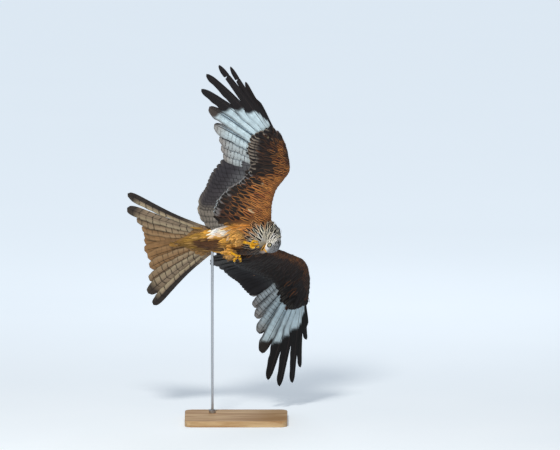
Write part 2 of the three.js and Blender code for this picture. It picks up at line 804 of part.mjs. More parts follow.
function claw([, from, base]) {
  const start = point(...base);
  const along = start.clone().sub(point(...from)).normalize();
  const curl = point(-0.4, 0, 0.9).addScaledVector(along, -point(-0.4, 0, 0.9).dot(along));
  curl.normalize();
  const stations = [0, 0.35, 0.7, 1].map((t) => {
    const bend = t * 1.5;
    const p = start.clone()
      .addScaledVector(along, (CLAW_LENGTH * Math.sin(bend)) / 1.5)
      .addScaledVector(curl, (CLAW_LENGTH * (1 - Math.cos(bend))) / 1.5);
    return [p.x, p.y, p.z, CLAW_RADIUS * (1 - 0.92 * t)];
  });
  return tube(stations, CLAW_SIDES);
}

// Stand

function base() {
  const [w, d] = [BASE_SIZE.x / 2 - BASE_BEVEL, BASE_SIZE.y / 2 - BASE_BEVEL];
  const r = BASE_CORNER;
  const outline = new THREE.Shape();
  outline.moveTo(-w + r, -d);
  outline.lineTo(w - r, -d);
  outline.absarc(w - r, -d + r, r, -Math.PI / 2, 0, false);
  outline.absarc(w - r, d - r, r, 0, Math.PI / 2, false);
  outline.absarc(-w + r, d - r, r, Math.PI / 2, Math.PI, false);
  outline.absarc(-w + r, -d + r, r, Math.PI, 1.5 * Math.PI, false);
  const slab = new THREE.ExtrudeGeometry(outline, {
    depth: BASE_SIZE.z - 2 * BASE_BEVEL,
    bevelThickness: BASE_BEVEL,
    bevelSize: BASE_BEVEL,
    bevelSegments: 1,
    curveSegments: 5,
  });
  return slab.translate(0, 0, BASE_BEVEL);
}

function rodSolid(body) {
  const bottom = BASE_SIZE.z + GAP;
  const top = BIRD_PLACE.z;
  const profile = [
    new THREE.Vector2(0, bottom),
    new THREE.Vector2(COLLAR_RADIUS, bottom),
    new THREE.Vector2(COLLAR_RADIUS, bottom + COLLAR_HEIGHT - 2),
    new THREE.Vector2(COLLAR_RADIUS - 2, bottom + COLLAR_HEIGHT),
    new THREE.Vector2(ROD_RADIUS, bottom + COLLAR_HEIGHT),
    new THREE.Vector2(ROD_RADIUS, top),
    new THREE.Vector2(0, top),
  ];
  const rod = new THREE.LatheGeometry(profile, 16).rotateX(Math.PI / 2);
  rod.translate(ROD_PLACE.x, ROD_PLACE.y, 0);
  return largest(toSolid(rod).subtract(body));
}

// Materials and assembly

const finish = (color, roughness, metalness = 0) =>
  new THREE.MeshStandardMaterial({ color, roughness, metalness });

const model = new THREE.Group();
const bird = new THREE.Group();
bird.matrixAutoUpdate = false;
bird.matrix.copy(birdMatrix());
model.add(bird);

function addPiece(group, name, geometry, material) {
  const mesh = new THREE.Mesh(geometry, material);
  mesh.name = name;
  group.add(mesh);
}

const addSolid = (group, name, solid, material) =>
  addPiece(group, name, toGeometry(solid), material);

function addBody() {
  const torsoClear = toSolid(torso(GAP));
  const headClear = inHead(toSolid(headSkull(GAP)));
  const neck = tube(NECK_STATIONS, NECK_SIDES);
  const neckClear = toSolid(tube(NECK_STATIONS, NECK_SIDES, GAP));
  const neckSolid = largest(cut(toSolid(neck), [torsoClear, headClear]));
  addSolid(bird, 'torso', toSolid(torso()), finish(0xa8642c, 0.9));
  addSolid(bird, 'neck', neckSolid, finish(0xb89a78, 0.9));
  const wingTools = [torsoClear, neckClear];
  addSolid(bird, 'wing_right', wingSolid(RIGHT_WING, wingTools), finish(0x6a4326, 0.8));
  addSolid(bird, 'wing_left', wingSolid(LEFT_WING, wingTools), finish(0x4a2e1c, 0.8));
  addSolid(bird, 'tail', tailSolid([torsoClear]), finish(0xb57a48, 0.8));
  return torsoClear;
}

function addHead(torsoClear) {
  const head = headSolid();
  const { upper, cere, lower } = billSolids(head);
  const seated = largest(inHead(head).subtract(torsoClear));
  addSolid(bird, 'head', seated, finish(0xc9c6c2, 0.9));
  addSolid(bird, 'bill_upper', inHead(upper), finish(0x4a4440, 0.4));
  addSolid(bird, 'cere', inHead(cere), finish(0xe8b21a, 0.5));
  addSolid(bird, 'bill_lower', inHead(lower), finish(0xd8a82a, 0.45));
  [['eye_right', 1], ['eye_left', -1]].forEach(([name, side]) => {
    addSolid(bird, name, inHead(toSolid(eyeBall(side))), finish(0xd9cf8e, 0.15));
  });
}

function addLeg(name, leg, torsoClear) {
  const skin = finish(0xe0a01c, 0.55);
  const thighClear = toSolid(thigh(leg, GAP));
  const thighSolid = largest(toSolid(thigh(leg)).subtract(torsoClear));
  addSolid(bird, `thigh_${name}`, thighSolid, finish(0xb06a2e, 0.9));
  const shankSolid = largest(cut(toSolid(shank(leg)), [thighClear, torsoClear]));
  addSolid(bird, `shank_${name}`, shankSolid, skin);
  const foot = footSolid(leg);
  leg.toes.forEach((joints, i) => {
    const clawSolid = toSolid(claw(joints));
    addSolid(bird, `claw_${name}_${i + 1}`, clawSolid, finish(0x1d1a19, 0.35));
  });
  const claws = leg.toes.map((joints) => toSolid(claw(joints)));
  addSolid(bird, `foot_${name}`, largest(cut(foot, claws)), skin);
}

function addStand(torsoClear) {
  addPiece(model, 'stand_base', base(), finish(0xc9a878, 0.6));
  const body = torsoClear.transform(birdMatrix().elements);
  addSolid(model, 'stand_rod', rodSolid(body), finish(0xb8bcc0, 0.3, 0.9));
}

const torsoTool = addBody();
addHead(torsoTool);
addLeg('right', RIGHT_LEG, torsoTool);
addLeg('left', LEFT_LEG, torsoTool);
addStand(torsoTool);

export default model;
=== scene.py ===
"""A red kite in banking flight on its display stand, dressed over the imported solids.

The bird is worked out in its own frame, in millimetres: +X towards its breast, +Y to its left,
+Z to its back. One turn and one lift bring that frame onto the stand, in metres.
"""

import math

import bpy
import numpy as np
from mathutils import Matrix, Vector
from mathutils.bvhtree import BVHTree
from mathutils.kdtree import KDTree


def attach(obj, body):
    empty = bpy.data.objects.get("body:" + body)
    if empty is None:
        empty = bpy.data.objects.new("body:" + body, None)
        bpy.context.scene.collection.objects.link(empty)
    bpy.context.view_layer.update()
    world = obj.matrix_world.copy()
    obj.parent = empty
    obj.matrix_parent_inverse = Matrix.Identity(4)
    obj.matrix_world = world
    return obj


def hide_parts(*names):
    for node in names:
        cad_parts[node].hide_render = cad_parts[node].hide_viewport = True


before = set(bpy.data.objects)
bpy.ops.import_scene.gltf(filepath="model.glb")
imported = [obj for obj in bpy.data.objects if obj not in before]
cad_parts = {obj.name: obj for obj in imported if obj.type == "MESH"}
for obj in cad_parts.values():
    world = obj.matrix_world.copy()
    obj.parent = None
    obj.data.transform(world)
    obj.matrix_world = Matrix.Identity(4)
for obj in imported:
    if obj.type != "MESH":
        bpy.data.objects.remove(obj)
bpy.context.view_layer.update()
RNG = np.random.default_rng(20)

# Attitude and place of the bird, as the solids have them
SPAN_LEAN, SPAN_DEPTH, BODY_RISE, VIEW_DROP = 13.06, -26.0, 6.4, 8.0
BIRD_PLACE = np.array([79.0, 0.0, 668.0])
MM = 0.001

# Body from the tail's core forward: place along, height of the middle, half width, half depth
BODY_STATIONS = [
    (-306, 32, 10, 4), (-280, 31, 20, 8), (-250, 30, 30, 13), (-222, 30, 38, 20),
    (-198, 30, 43, 28), (-180, 28, 47, 33), (-140, 23, 54, 43), (-95, 16, 60, 51),
    (-45, 8, 62, 55), (0, 2, 58, 54), (34, 0, 48, 46), (58, -1, 34, 33), (70, -2, 17, 17),
]
TAIL_BASE_STATIONS = [(-262, 31.5, 32, 2.5), (-240, 31, 46, 4), (-214, 30, 55, 6),
                      (-188, 30, 57, 7)]
NECK_STATIONS = [
    (14, 0, 4, 46), (34, -9, 6, 41), (50, -15, -3, 34), (58, -9, -20, 30),
    (58, 0, -35, 26), (56, 8, -46, 22),
]
HEAD_PLACE = np.array([54.7, 13.6, -52.2])
HEAD_FORWARD = np.array([-0.796, 0.292, -0.53])
HEAD_UP = np.array([0.6, 0.504, -0.622])
# Head sections: place along, height of the middle, up, down and side extents
HEAD_STATIONS = [
    (-42, -3, 5, 6, 6), (-36, -3, 14, 15, 15), (-25, -1.5, 21.5, 21, 22), (-11, 0, 26, 22.5, 25),
    (0, 0.5, 26, 21.5, 24.4), (9, 0, 23.5, 19, 21), (16, -0.5, 20, 15.8, 17),
    (21, -1.2, 16, 12.6, 13), (25, -2, 11, 9, 8.8),
]
EYE_PLACE = np.array([3.5, 1.5, 16.4])
EYE_RADIUS = 7.2
EYE_LOOK = np.array([0.3, 0.05, 1.0])
# How far ahead of the eye's middle the skin ends round it
SOCKET_LEVEL = 2.2
SIDE_NAMES = {1: "right", -1: "left"}
BILL_UPPER_STATIONS = [
    (12, -1.5, 8.8, 4.6, 8.6), (21, -1.2, 8.4, 5.4, 7.4), (29.5, -1.2, 7.8, 5.8, 6.2),
    (35.5, -2.2, 7, 5.8, 5), (41, -4.6, 5.8, 5.2, 3.9), (44.6, -8.8, 4.1, 3.8, 2.6),
    (46, -13.6, 2.1, 1.8, 1.5), (45.6, -17.2, 0.6, 0.5, 0.5),
]
BILL_START, CERE_END = 12.0, 29.5
BILL_LOWER_STATIONS = [
    (12, -11.6, 3.6, 4.6, 7.4), (21, -11, 3.3, 4, 6.3), (29.5, -10.9, 2.9, 3.5, 5),
    (35.5, -10.9, 2.3, 2.9, 3.7), (39.6, -10.9, 1.2, 1.6, 2),
]
NOSTRIL_PLACE = np.array([26.0, 3.0, 6.6])
MOUTH_FRONT, MOUTH_CORNER = np.array([33.0, -8.2]), np.array([8.5, -16.0])

# Wing surface: rises of arm and hand, droop of the tips, twist, and lift of the fingers
WING_LOW = 8.0
ARM_RISE, HAND_RISE, TIP_DROOP = (0, 220, 112), (180, 440, 26), (380, 700, 45)
TWIST_ROOT, HAND_TWIST, TWIST_LINE = 0.05, (140, 420, 0.28), -25.0
FINGER_RISE, FINGER_RISE_START = (430, 640, 0.55), 0.55
ELBOW, WRIST_INSET, HAND_END_INSET, WRIST_STATION = (-36, 98), (26, 4), (12, 20), 5
PRIMARY_ROOT_STEP = 0.9

# Places on each wing as the viewer sees them, across and up from the shoulders.
# The covert edge is where the lining ends, station by station under the leading edge.
RIGHT_WING = dict(
    name="right", side=-1, primary_bow=0.015,
    leading_edge=[(50, 72), (50, 100), (53, 127), (67, 173), (92, 207), (114, 238), (115, 276),
                  (103, 331), (84, 372)],
    covert_edge=[(-158, 90), (-151, 119), (-137, 144), (-104, 176), (-65, 205), (-29, 252),
                 (-34, 317), (-25, 378), (47, 416)],
    primary_tips=[(-126, 302), (-133, 331), (-139, 364), (-157, 410), (-175, 472), (-203, 535),
                  (-185, 589), (-140, 621), (-99, 616), (-45, 562)],
    trailing_edge=[(-137, 275), (-166, 238), (-180, 209), (-194, 173), (-209, 151), (-216, 133)],
)
LEFT_WING = dict(
    name="left", side=1, primary_bow=-0.01,
    leading_edge=[(72, -40), (97, -49), (119, -58), (144, -68), (164, -78), (181, -104),
                  (188, -142), (188, -170), (184, -200)],
    covert_edge=[(-94, -86), (-54, -101), (-14, -115), (25, -133), (58, -155), (76, -184),
                 (90, -220), (126, -241), (176, -220)],
    primary_tips=[(-25, -209), (-14, -252), (-5, -292), (4, -347), (14, -418), (36, -515),
                  (77, -538), (124, -526), (153, -470), (175, -369)],
    trailing_edge=[(-32, -206), (-54, -184), (-72, -162), (-97, -144), (-115, -130),
                   (-158, -99)],
)
LINING_THICKNESS = [34, 32, 27, 24, 22, 20, 17, 13, 8]
# How far the ends of the lining stand off the middle of the wing, on the arm and on the hand
LINING_CLEAR = (5.6, 7.8)
LINING_ROOT_SHIFT = (-8, -34, -14)
TERTIAL_TIPS = [(-172, 64), (-192, 80), (-206, 98), (-212, 116)]
TERTIAL_ROOTS = [(-44, 52), (-42, 64), (-40, 76), (-38, 88)]
SECONDARY_COUNT = 13

TAIL_ROOT, TAIL_ROOT_HALF_WIDTH, TAIL_ROOT_MIDDLE = -165.0, 28.0, 3.0
TAIL_SPREAD_FROM, TAIL_LENGTH, TAIL_BOW = -208.0, 225.0, 0.035
TAIL_LEVEL, TAIL_TIP_RISE, TAIL_DROOP = 30.0, 8.0, 0.13
RIGHT_TAIL_TIPS = [(-412, -8), (-413, 15), (-420, 38), (-438, 70), (-472, 108), (-470, 160)]
LEFT_TAIL_TIPS = [(-410, -46), (-398, -72), (-391, -106), (-391, -154), (-397, -200),
                  (-378, -242)]

RIGHT_LEG = dict(
    name="right", hip=(-78, -30, -8), knee=(-58, -30, -34), ankle=(-40, -17, -54),
    foot=(-10, -13, -69),
    toes=[[(-3, -25, -74), (6, -26, -73), (13, -18, -66)],
          [(2, -15, -78), (12, -15, -76), (15, -9, -68)],
          [(0, -6, -76), (10, -3, -75), (13, 2, -68)],
          [(-12, -10, -79), (-5, -7, -87), (4, -8, -87)]],
)
LEFT_LEG = dict(
    name="left", hip=(-98, 34, -2), knee=(-100, 32, -34), ankle=(-96, 17, -58),
    foot=(-68, 25, -80),
    toes=[[(-63, 33, -85), (-58, 38, -90), (-61, 36, -98)],
          [(-61, 28, -88), (-56, 29, -94), (-60, 27, -102)],
          [(-62, 20, -87), (-57, 17, -92), (-60, 16, -100)],
          [(-73, 26, -90), (-79, 28, -99), (-76, 31, -106)]],
)
THIGH_RADII = (26, 23, 11)
SHANK_RADII, TOE_RADII = (5.0, 5.8, 4.4, 5.2), (4.4, 3.9, 3.5, 3.0)
CLAW_LENGTH, CLAW_RADIUS, CLAW_BEND = 15.0, 2.5, 1.5

# Vane outlines: share of the length, width on the leading side, width on the trailing side.
# A finger narrows past a slot, given as where the slot begins and how wide it is after that.
INNER_PRIMARY_OUTLINE = [(0, 3, 3), (0.22, 8, 15), (0.5, 13, 27), (0.84, 15, 29), (1, 14, 26)]
SECONDARY_OUTLINE = [(0, 3, 5), (0.3, 11, 22), (0.88, 13, 25), (1, 12, 22)]
RECTRIX_OUTLINE = [(0, 8, 9), (0.15, 12, 14), (0.3, 14, 17), (0.85, 22, 24), (1, 19, 20)]
COVERT_OUTLINE = [(0, 4, 5), (0.4, 11, 15), (0.9, 12, 15), (1, 11, 13)]
FINGER_FIRST = 5
FINGERS = [(0.76, 1.2), (0.6, 1.1), (0.54, 0.9), (0.5, 0.72), (0.7, 0.65)]


def finger_outline(slot, widen):
    past = [(slot + 0.04, 9, 20), (0.93, 8, 14.5), (1, 7, 12.5)]
    return [(0, 3, 3), (0.22, 7, 12), (slot - 0.08, 13, 29)] + [
        (t, lead * widen, trail * widen) for t, lead, trail in past]


def srgb(code):
    """Linear colour of a #rrggbb code."""
    value = np.array([int(code[i:i + 2], 16) for i in (1, 3, 5)]) / 255
    return np.where(value <= 0.04045, value / 12.92, ((value + 0.055) / 1.055) ** 2.4)


COLOUR = {name: srgb(code) for name, code in dict(
    black="#161214", dark="#221b1c", brown="#4a3527", window="#b9ccd4", grey="#85898c",
    drab="#80736a", pale="#c9bda8", rufous="#8f5526", deep="#4a2a18", orange="#b8742f",
    buff="#dcab68", gold="#dfa240", olive="#94702f", white="#fbf9f4", streak="#100b0a",
    ash="#7d7e80", head="#dfe1e6", cream="#e6d6ac", tail="#8a6742", tail_grey="#84735f",
    tail_bar="#1c1613", secondary="#322f34", secondary_bar="#1a171b", back="#5c4132",
    back_edge="#b98f63", lining="#8a5127", lining_edge="#b67a3c", breast="#c98236",
    undertail="#7d5c27",
).items()}


# Places and turns

def unit(v):
    v = np.asarray(v, float)
    return v / np.maximum(np.linalg.norm(v, axis=-1, keepdims=True), 1e-9)


def bird_basis():
    lean, depth, rise = np.radians([SPAN_LEAN, SPAN_DEPTH, BODY_RISE])
    right = np.array([-np.sin(lean) * np.cos(depth), np.sin(depth), np.cos(lean) * np.cos(depth)])
    across = np.array([np.cos(rise), 0, np.sin(rise)])
    body_depth = np.arctan(-across @ right / np.sin(depth))
    forward = across * np.cos(body_depth)
    forward[1] = np.sin(body_depth)
    forward = unit(forward)
    return forward, right, np.cross(right, forward)


FORWARD, RIGHT, BACK = bird_basis()
DROP = np.radians(VIEW_DROP)
DROP_TURN = np.array([[1, 0, 0], [0, np.cos(DROP), np.sin(DROP)], [0, -np.sin(DROP), np.cos(DROP)]])
BIRD_TURN = DROP_TURN @ np.stack([FORWARD, -RIGHT, BACK], axis=1)
HEAD_AXES = np.stack([unit(HEAD_FORWARD), unit(HEAD_UP),
                      unit(np.cross(HEAD_FORWARD, HEAD_UP))], axis=1)


def to_world(points):
    """Metres on the stand, of places in the bird's frame in millimetres."""
    return (np.asarray(points) @ BIRD_TURN.T + BIRD_PLACE) * MM


def from_head(points):
    """The bird's frame, of places along, above and right of the middle of the head."""
    return np.asarray(points) @ HEAD_AXES.T + HEAD_PLACE


def to_head(points):
    return (np.asarray(points) - HEAD_PLACE) @ HEAD_AXES


def ramp(y, limits):
    low, high, by = limits
    t = np.clip((y - low) / (high - low), 0, 1)
    return by * t * t * (3 - 2 * t)


def step(x, low, high):
    """0 below low, 1 above high, smooth between."""
    return ramp(x, (low, high, 1.0))


def wing_height(x, y):
    y = np.abs(y)
    twist = TWIST_ROOT + ramp(y, HAND_TWIST)
    level = WING_LOW + ramp(y, ARM_RISE) + ramp(y, HAND_RISE) - ramp(y, TIP_DROOP)
    return level + twist * (x - TWIST_LINE)


def finger_rise(x, y):
    return ramp(np.abs(y), FINGER_RISE) * (x - TWIST_LINE)


def finger_height(x, y):
    return wing_height(x, y) + finger_rise(x, y)


def tail_height(x, y):
    along = np.clip((TAIL_SPREAD_FROM - x) / TAIL_LENGTH, 0, 1.2)
    return TAIL_LEVEL + along * (TAIL_TIP_RISE - TAIL_DROOP * np.abs(y))


def seen_place(surface, seen, side):
    """Plan places, on the left-hand form, that are seen at these places across and up."""
    across, up = np.asarray(seen, float).T
    z = np.full(len(across), surface(0.0, 150.0))
    det = FORWARD[0] * -RIGHT[2] + RIGHT[0] * FORWARD[2]
    for _ in range(80):
        a, b = across - BACK[0] * z, up - BACK[2] * z
        x = (a * -RIGHT[2] + RIGHT[0] * b) / det
        y = (FORWARD[0] * b - FORWARD[2] * a) / det
        z += 0.5 * (surface(x, y) - z)
    return np.stack([x, side * y], axis=1)


def surface_normal(surface, x, y):
    slope_x = (surface(x + 1, y) - surface(x - 1, y)) / 2
    slope_y = (surface(x, y + 1) - surface(x, y - 1)) / 2
    return unit(np.stack([-slope_x, -slope_y, np.ones_like(slope_x)], axis=-1))


def through(points, count):
    """A smooth line of count points through the given ones, evenly spaced in their order."""
    return at_index(points, np.linspace(0, len(points) - 1, count))


def circle(sides):
    """Angles of one full turn."""
    return np.linspace(0, 2 * np.pi, sides, endpoint=False)


def at_index(points, t):
    """Catmull-Rom places on a line of points at fractional indices."""
    points = np.asarray(points, float)
    ends = np.concatenate([2 * points[:1] - points[1:2], points, 2 * points[-1:] - points[-2:-1]])
    i = np.clip(np.floor(t).astype(int), 0, len(points) - 2)
    f = (t - i)[:, None]
    a, b, c, d = (ends[i + k] for k in range(4))
    return 0.5 * (2 * b + (c - a) * f + (2 * a - 5 * b + 4 * c - d) * f**2
                  + (3 * b - a - 3 * c + d) * f**3)


# Meshes from arrays

def packed(values, kind=np.float32):
    """Values in one row, as data blocks take them."""
    return np.asarray(values).astype(kind).ravel()


def add_object(name, data):
    thing = bpy.data.objects.new(name, data)
    bpy.context.scene.collection.objects.link(thing)
    return thing


class Mesh:
    """Gathers vertices with their looks and faces, and makes one object of them."""

    LOOKS = dict(tone=3, mark=3, form=3, vane=2, bake=2)

    def __init__(self):
        self.places, self.quads, self.count = [], [], 0
        self.looks = {name: [] for name in self.LOOKS}

    def add(self, places, quads, **looks):
        places = np.reshape(places, (-1, 3))
        self.places.append(places)
        self.quads.append(np.asarray(quads) + self.count)
        self.count += len(places)
        for name, size in self.LOOKS.items():
            value = looks.get(name, np.zeros(size))
            self.looks[name].append(np.broadcast_to(value, (len(places), size)))

    def make(self, name, material, crease=None):
        places, quads = to_world(np.concatenate(self.places)), np.concatenate(self.quads)
        # a quad that names its last corner twice is a triangle
        own = np.ones(quads.shape, bool)
        own[:, 3] = quads[:, 2] != quads[:, 3]
        corners, sizes = quads[own], own.sum(axis=1)
        mesh = bpy.data.meshes.new(name)
        mesh.vertices.add(len(places))
        mesh.vertices.foreach_set("co", packed(places))
        mesh.loops.add(len(corners))
        mesh.loops.foreach_set("vertex_index", packed(corners, np.int32))
        mesh.polygons.add(len(quads))
        mesh.polygons.foreach_set("loop_start", packed(np.cumsum(sizes) - sizes, np.int32))
        mesh.polygons.foreach_set("loop_total", packed(sizes, np.int32))
        mesh.polygons.foreach_set("use_smooth", np.ones(len(quads), bool))
        mesh.update(calc_edges=True)
        looks = {look: np.concatenate(values) for look, values in self.looks.items()}
        for look in ("tone", "mark"):
            store = mesh.attributes.new(look, "FLOAT_COLOR", "POINT")
            store.data.foreach_set("color", packed(np.pad(looks[look], ((0, 0), (0, 1)),
                                                        constant_values=1)))
        store = mesh.attributes.new("form", "FLOAT_VECTOR", "POINT")
        store.data.foreach_set("vector", packed(looks["form"]))
        for look, layer in (("bake", "OFBake"), ("vane", "Vane")):
            mesh.uv_layers.new(name=layer).data.foreach_set("uv", packed(looks[look][corners]))
        if crease:
            mesh.set_sharp_from_angle(angle=math.radians(crease))
        mesh.validate()
        mesh.materials.append(material)
        return add_object(name, mesh)


def single(name, material, places, quads, crease=None, **looks):
    """A piece of one closed form."""
    mesh = Mesh()
    mesh.add(places, quads, **looks)
    return mesh.make(name, material, crease)


def finish_piece(piece, slot, *nodes):
    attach(piece, "root")
    if nodes:
        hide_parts(*nodes)


def grid_quads(rows, columns):
    """Faces between rows of points, each row closed round on itself."""
    i, j = np.meshgrid(np.arange(rows - 1), np.arange(columns), indexing="ij")
    k = (j + 1) % columns
    corners = (i * columns + j, i * columns + k, (i + 1) * columns + k, (i + 1) * columns + j)
    return np.stack(corners, axis=-1).reshape(-1, 4)


def capped(rings):
    """Places and faces of a closed skin over rings of points, with a hub at each end."""
    rings = np.asarray(rings)
    rows, columns = rings.shape[:2]
    places = np.concatenate([rings.reshape(-1, 3), rings[[0, -1]].mean(axis=1)])
    j = np.arange(columns)
    k = (j + 1) % columns
    hub, last = np.full(columns, rows * columns), (rows - 1) * columns
    front = np.stack([k, j, hub, hub], axis=1)
    rear = np.stack([last + j, last + k, hub + 1, hub + 1], axis=1)
    return places, outward(places, np.concatenate([grid_quads(rows, columns), front, rear]))


def along_form(rows, columns):
    """Looks of capped rings: the share of the way along them."""
    share = np.append(np.repeat(np.linspace(0, 1, rows), columns), [0, 1])
    return np.stack([share, 0 * share, 0 * share], axis=1)


def outward(places, quads):
    """The faces, turned to face out of the closed form they make."""
    a, b, c, d = (places - places.mean(axis=0))[quads].transpose(1, 0, 2)
    if (a * (np.cross(b, c) + np.cross(c, d))).sum() > 0:
        return quads
    three = quads[:, 2] == quads[:, 3]
    turned = quads[:, ::-1].copy()
    turned[three] = quads[three][:, [1, 0, 2, 3]]
    return turned


def face_lists(quads):
    """Corners of each face; one that is named twice counts once."""
    return [tuple(dict.fromkeys(q)) for q in quads.tolist()]


# Forms of the flesh, as rings in the bird's frame

def body_rings(stations, sides=32, count=60, grow=0.0):
    turn = circle(sides)
    return np.array([
        np.stack([np.full(sides, x), (half + grow) * np.cos(turn),
                  z + (depth + grow) * np.sin(turn)], axis=1)
        for x, z, half, depth in through(stations, count)])


def tube_rings(stations, sides=24, count=30, grow=0.0):
    line = through(stations, count)
    along = unit(np.gradient(line[:, :3], axis=0))
    across = np.array([0.0, 1.0, 0.0])
    turn = circle(sides)[:, None]
    rings = []
    for (*centre, radius), ahead in zip(line, along):
        across = unit(across - ahead * (across @ ahead))
        up = np.cross(ahead, across)
        rings.append(centre + (radius + grow) * (np.cos(turn) * across + np.sin(turn) * up))
    return np.array(rings)


def head_ring(station, turn, grow=0.0):
    along, height, up, down, side = station
    rise = np.sin(turn)
    extent = np.where(rise > 0, up, down) + grow
    return np.stack([np.full(len(turn), along), height + extent * rise,
                     (side + grow) * np.cos(turn)], axis=1)


def head_rings(stations, sides=36, count=40, grow=0.0):
    return np.array([head_ring(s, circle(sides), grow) for s in through(stations, count)])


def thigh_stations(leg):
    return [(*leg[part], radius) for part, radius in
            zip(("hip", "knee", "ankle"), THIGH_RADII)]


# The wing: its rails, and the lining between the leading edge and the covert edge

def wing_rails(wing):
    front, rear = (seen_place(wing_height, wing[edge], wing["side"])
                   for edge in ("leading_edge", "covert_edge"))
    rails = dict(wing, front=front, rear=rear)
    return dict(rails, shafts=shaft_levels(rails))


def rail_ends(wing, s):
    """Plan places of the leading edge and the covert edge at shares of the span."""
    t = s * (len(wing["front"]) - 1)
    return at_index(wing["front"], t), at_index(wing["rear"], t)


def shaft_levels(wing):
    """How far the shafts of the flight feathers run off the wing's surface, where coverts lie."""
    samples = []
    t = np.linspace(0.0, 0.6, 10)
    for row in (primary_row(wing), arm_row(wing)):
        for i in range(len(row.roots)):
            line = row.shaft(i, t)
            s, c = rail_share(wing, line)
            off = line[:, 2] - wing_height(line[:, 0], line[:, 1])
            samples.append(np.stack([s, c, off], axis=1)[c < 1.08])
    return np.concatenate(samples)


def shaft_level(wing, s, c):
    """That distance at shares of the lining, from the shafts nearby."""
    at_s, at_c, off = wing["shafts"].T
    gap = (10 * (s[:, None] - at_s)) ** 2 + (2 * (c[:, None] - at_c)) ** 2
    weight = 1 / (gap + 0.01) ** 2
    return (weight * off).sum(axis=1) / weight.sum(axis=1) * step(c, 0.1, 0.4)


def lining_depth(s, c, under):
    """How far the lining stands off the middle surface of the wing."""
    last = len(LINING_THICKNESS) - 1
    thick = np.interp(s * last, np.arange(last + 1), LINING_THICKNESS)
    swell = 1.45 * np.sqrt(np.clip(c, 0, 1)) * np.clip(1 - c, 0, 1) ** 0.75
    share = 0.62 if under else 0.5
    arm, hand = LINING_CLEAR
    clear = arm + (hand - arm) * step(s, 0.5, 0.68)
    return thick * share * swell + clear * step(c, 0.0, 0.35)


def lining_point(wing, s, c, under, lift=0.0):
    """A place on the lining at shares of its span and depth, lifted off it."""
    front, rear = rail_ends(wing, s)
    x, y = (front + (rear - front) * c[:, None]).T
    base = np.stack([x, y, wing_height(x, y) + shaft_level(wing, s, c)], axis=1)
    off = (lining_depth(s, c, under) + lift) * (-1 if under else 1)
    return base + off[:, None] * surface_normal(wing_height, x, y)


def to_side(wing, points):
    """A left-hand form on its own side of the bird."""
    return np.asarray(points) * np.array([1, wing["side"], 1])


def wing_rings(wing):
    c = np.linspace(0, 0.93, 13) ** 1.3
    around = [(value, True) for value in c[::-1]] + [(value, False) for value in c[1:]]
    rings = np.array([[lining_point(wing, np.array([s]), np.array([value]), under)[0]
                       for value, under in around] for s in np.linspace(0, 1, 44)])
    root = rings[0] + np.array(LINING_ROOT_SHIFT)
    return to_side(wing, np.concatenate([root[None], rings]))


def rail_share(wing, points):
    """Shares s and c of places, from their plan."""
    s = np.linspace(0, 1, 220)
    front, rear = rail_ends(wing, s)
    chord = rear - front
    plan = np.stack([points[:, 0], np.abs(points[:, 1])], axis=1)
    c = np.einsum("nsk,sk->ns", plan[:, None] - front[None], chord) / (chord**2).sum(1)
    c = np.clip(c, 0, 1.1)
    gap = np.linalg.norm(plan[:, None] - front[None] - c[..., None] * chord[None], axis=2)
    best = gap.argmin(axis=1)
    return s[best], c[np.arange(len(plan)), best]


# Flight feathers

LAYER_STEP, LAYER_SLOPE_MOST = 1.5, 0.13
# Angles past which an edge stays sharp, on vanes, on small feathers and on horn
VANE_CREASE, TUFT_CREASE, HORN_CREASE = 70, 75, 50
ACROSS = np.array([1, 0.8, 0.5, 0.22, 0.07, -0.07, -0.2, -0.42, -0.66, -0.86, -1])


def vane_width(outline, t, side, round_from, blunt):
    """Half width of a vane at shares of its length, rounded towards the tip."""
    table = np.array(outline, float)
    at, width = table[:, 0], table[:, side]
    i = np.clip(np.searchsorted(at, t, side="right") - 1, 0, len(at) - 2)
    width = width[i] + (width[i + 1] - width[i]) * step(t, at[i], at[i + 1])
    tip = np.clip((t - round_from) / (1 - round_from), 0, 1)
    return width * np.clip(1 - tip**blunt, 0, 1) ** (1 / blunt)


class Row:
    """A row of feathers with roots and tips on one surface, on the left-hand form."""

    def __init__(self, roots, tips, outlines, surface, bow, rises=None, widen=None):
        self.roots, self.tips = np.asarray(roots, float), np.asarray(tips, float)
        self.outlines, self.surface, self.bow = outlines, surface, bow
        count = len(self.roots)
        self.rises = np.zeros(count) if rises is None else np.asarray(rises)
        self.widen = np.ones(count) if widen is None else np.asarray(widen)

    def shaft(self, i, t):
        chord = self.tips[i] - self.roots[i]
        side = np.array([chord[1], -chord[0], 0])
        lifted = np.clip((t - FINGER_RISE_START) / (1 - FINGER_RISE_START), 0, 1.2) ** 2
        line = self.roots[i] + t[:, None] * chord + (4 * self.bow * t * (1 - t))[:, None] * side
        line[:, 2] += self.rises[i] * lifted
        return line

    def frame(self, i, t):
        middle = self.shaft(i, t)
        along = self.shaft(i, t + 0.01) - middle
        along[:, 2] = 0
        along = unit(along)
        side = np.stack([along[:, 1], -along[:, 0], np.zeros(len(t))], axis=1)
        other = i + 1 if i + 1 < len(self.roots) else i - 1
        space = np.abs(((self.shaft(other, t) - middle) * side).sum(1))
        tilt = np.minimum(LAYER_STEP / np.maximum(space, 1), LAYER_SLOPE_MOST)
        return middle, side, surface_normal(self.surface, middle[:, 0], middle[:, 1]), tilt


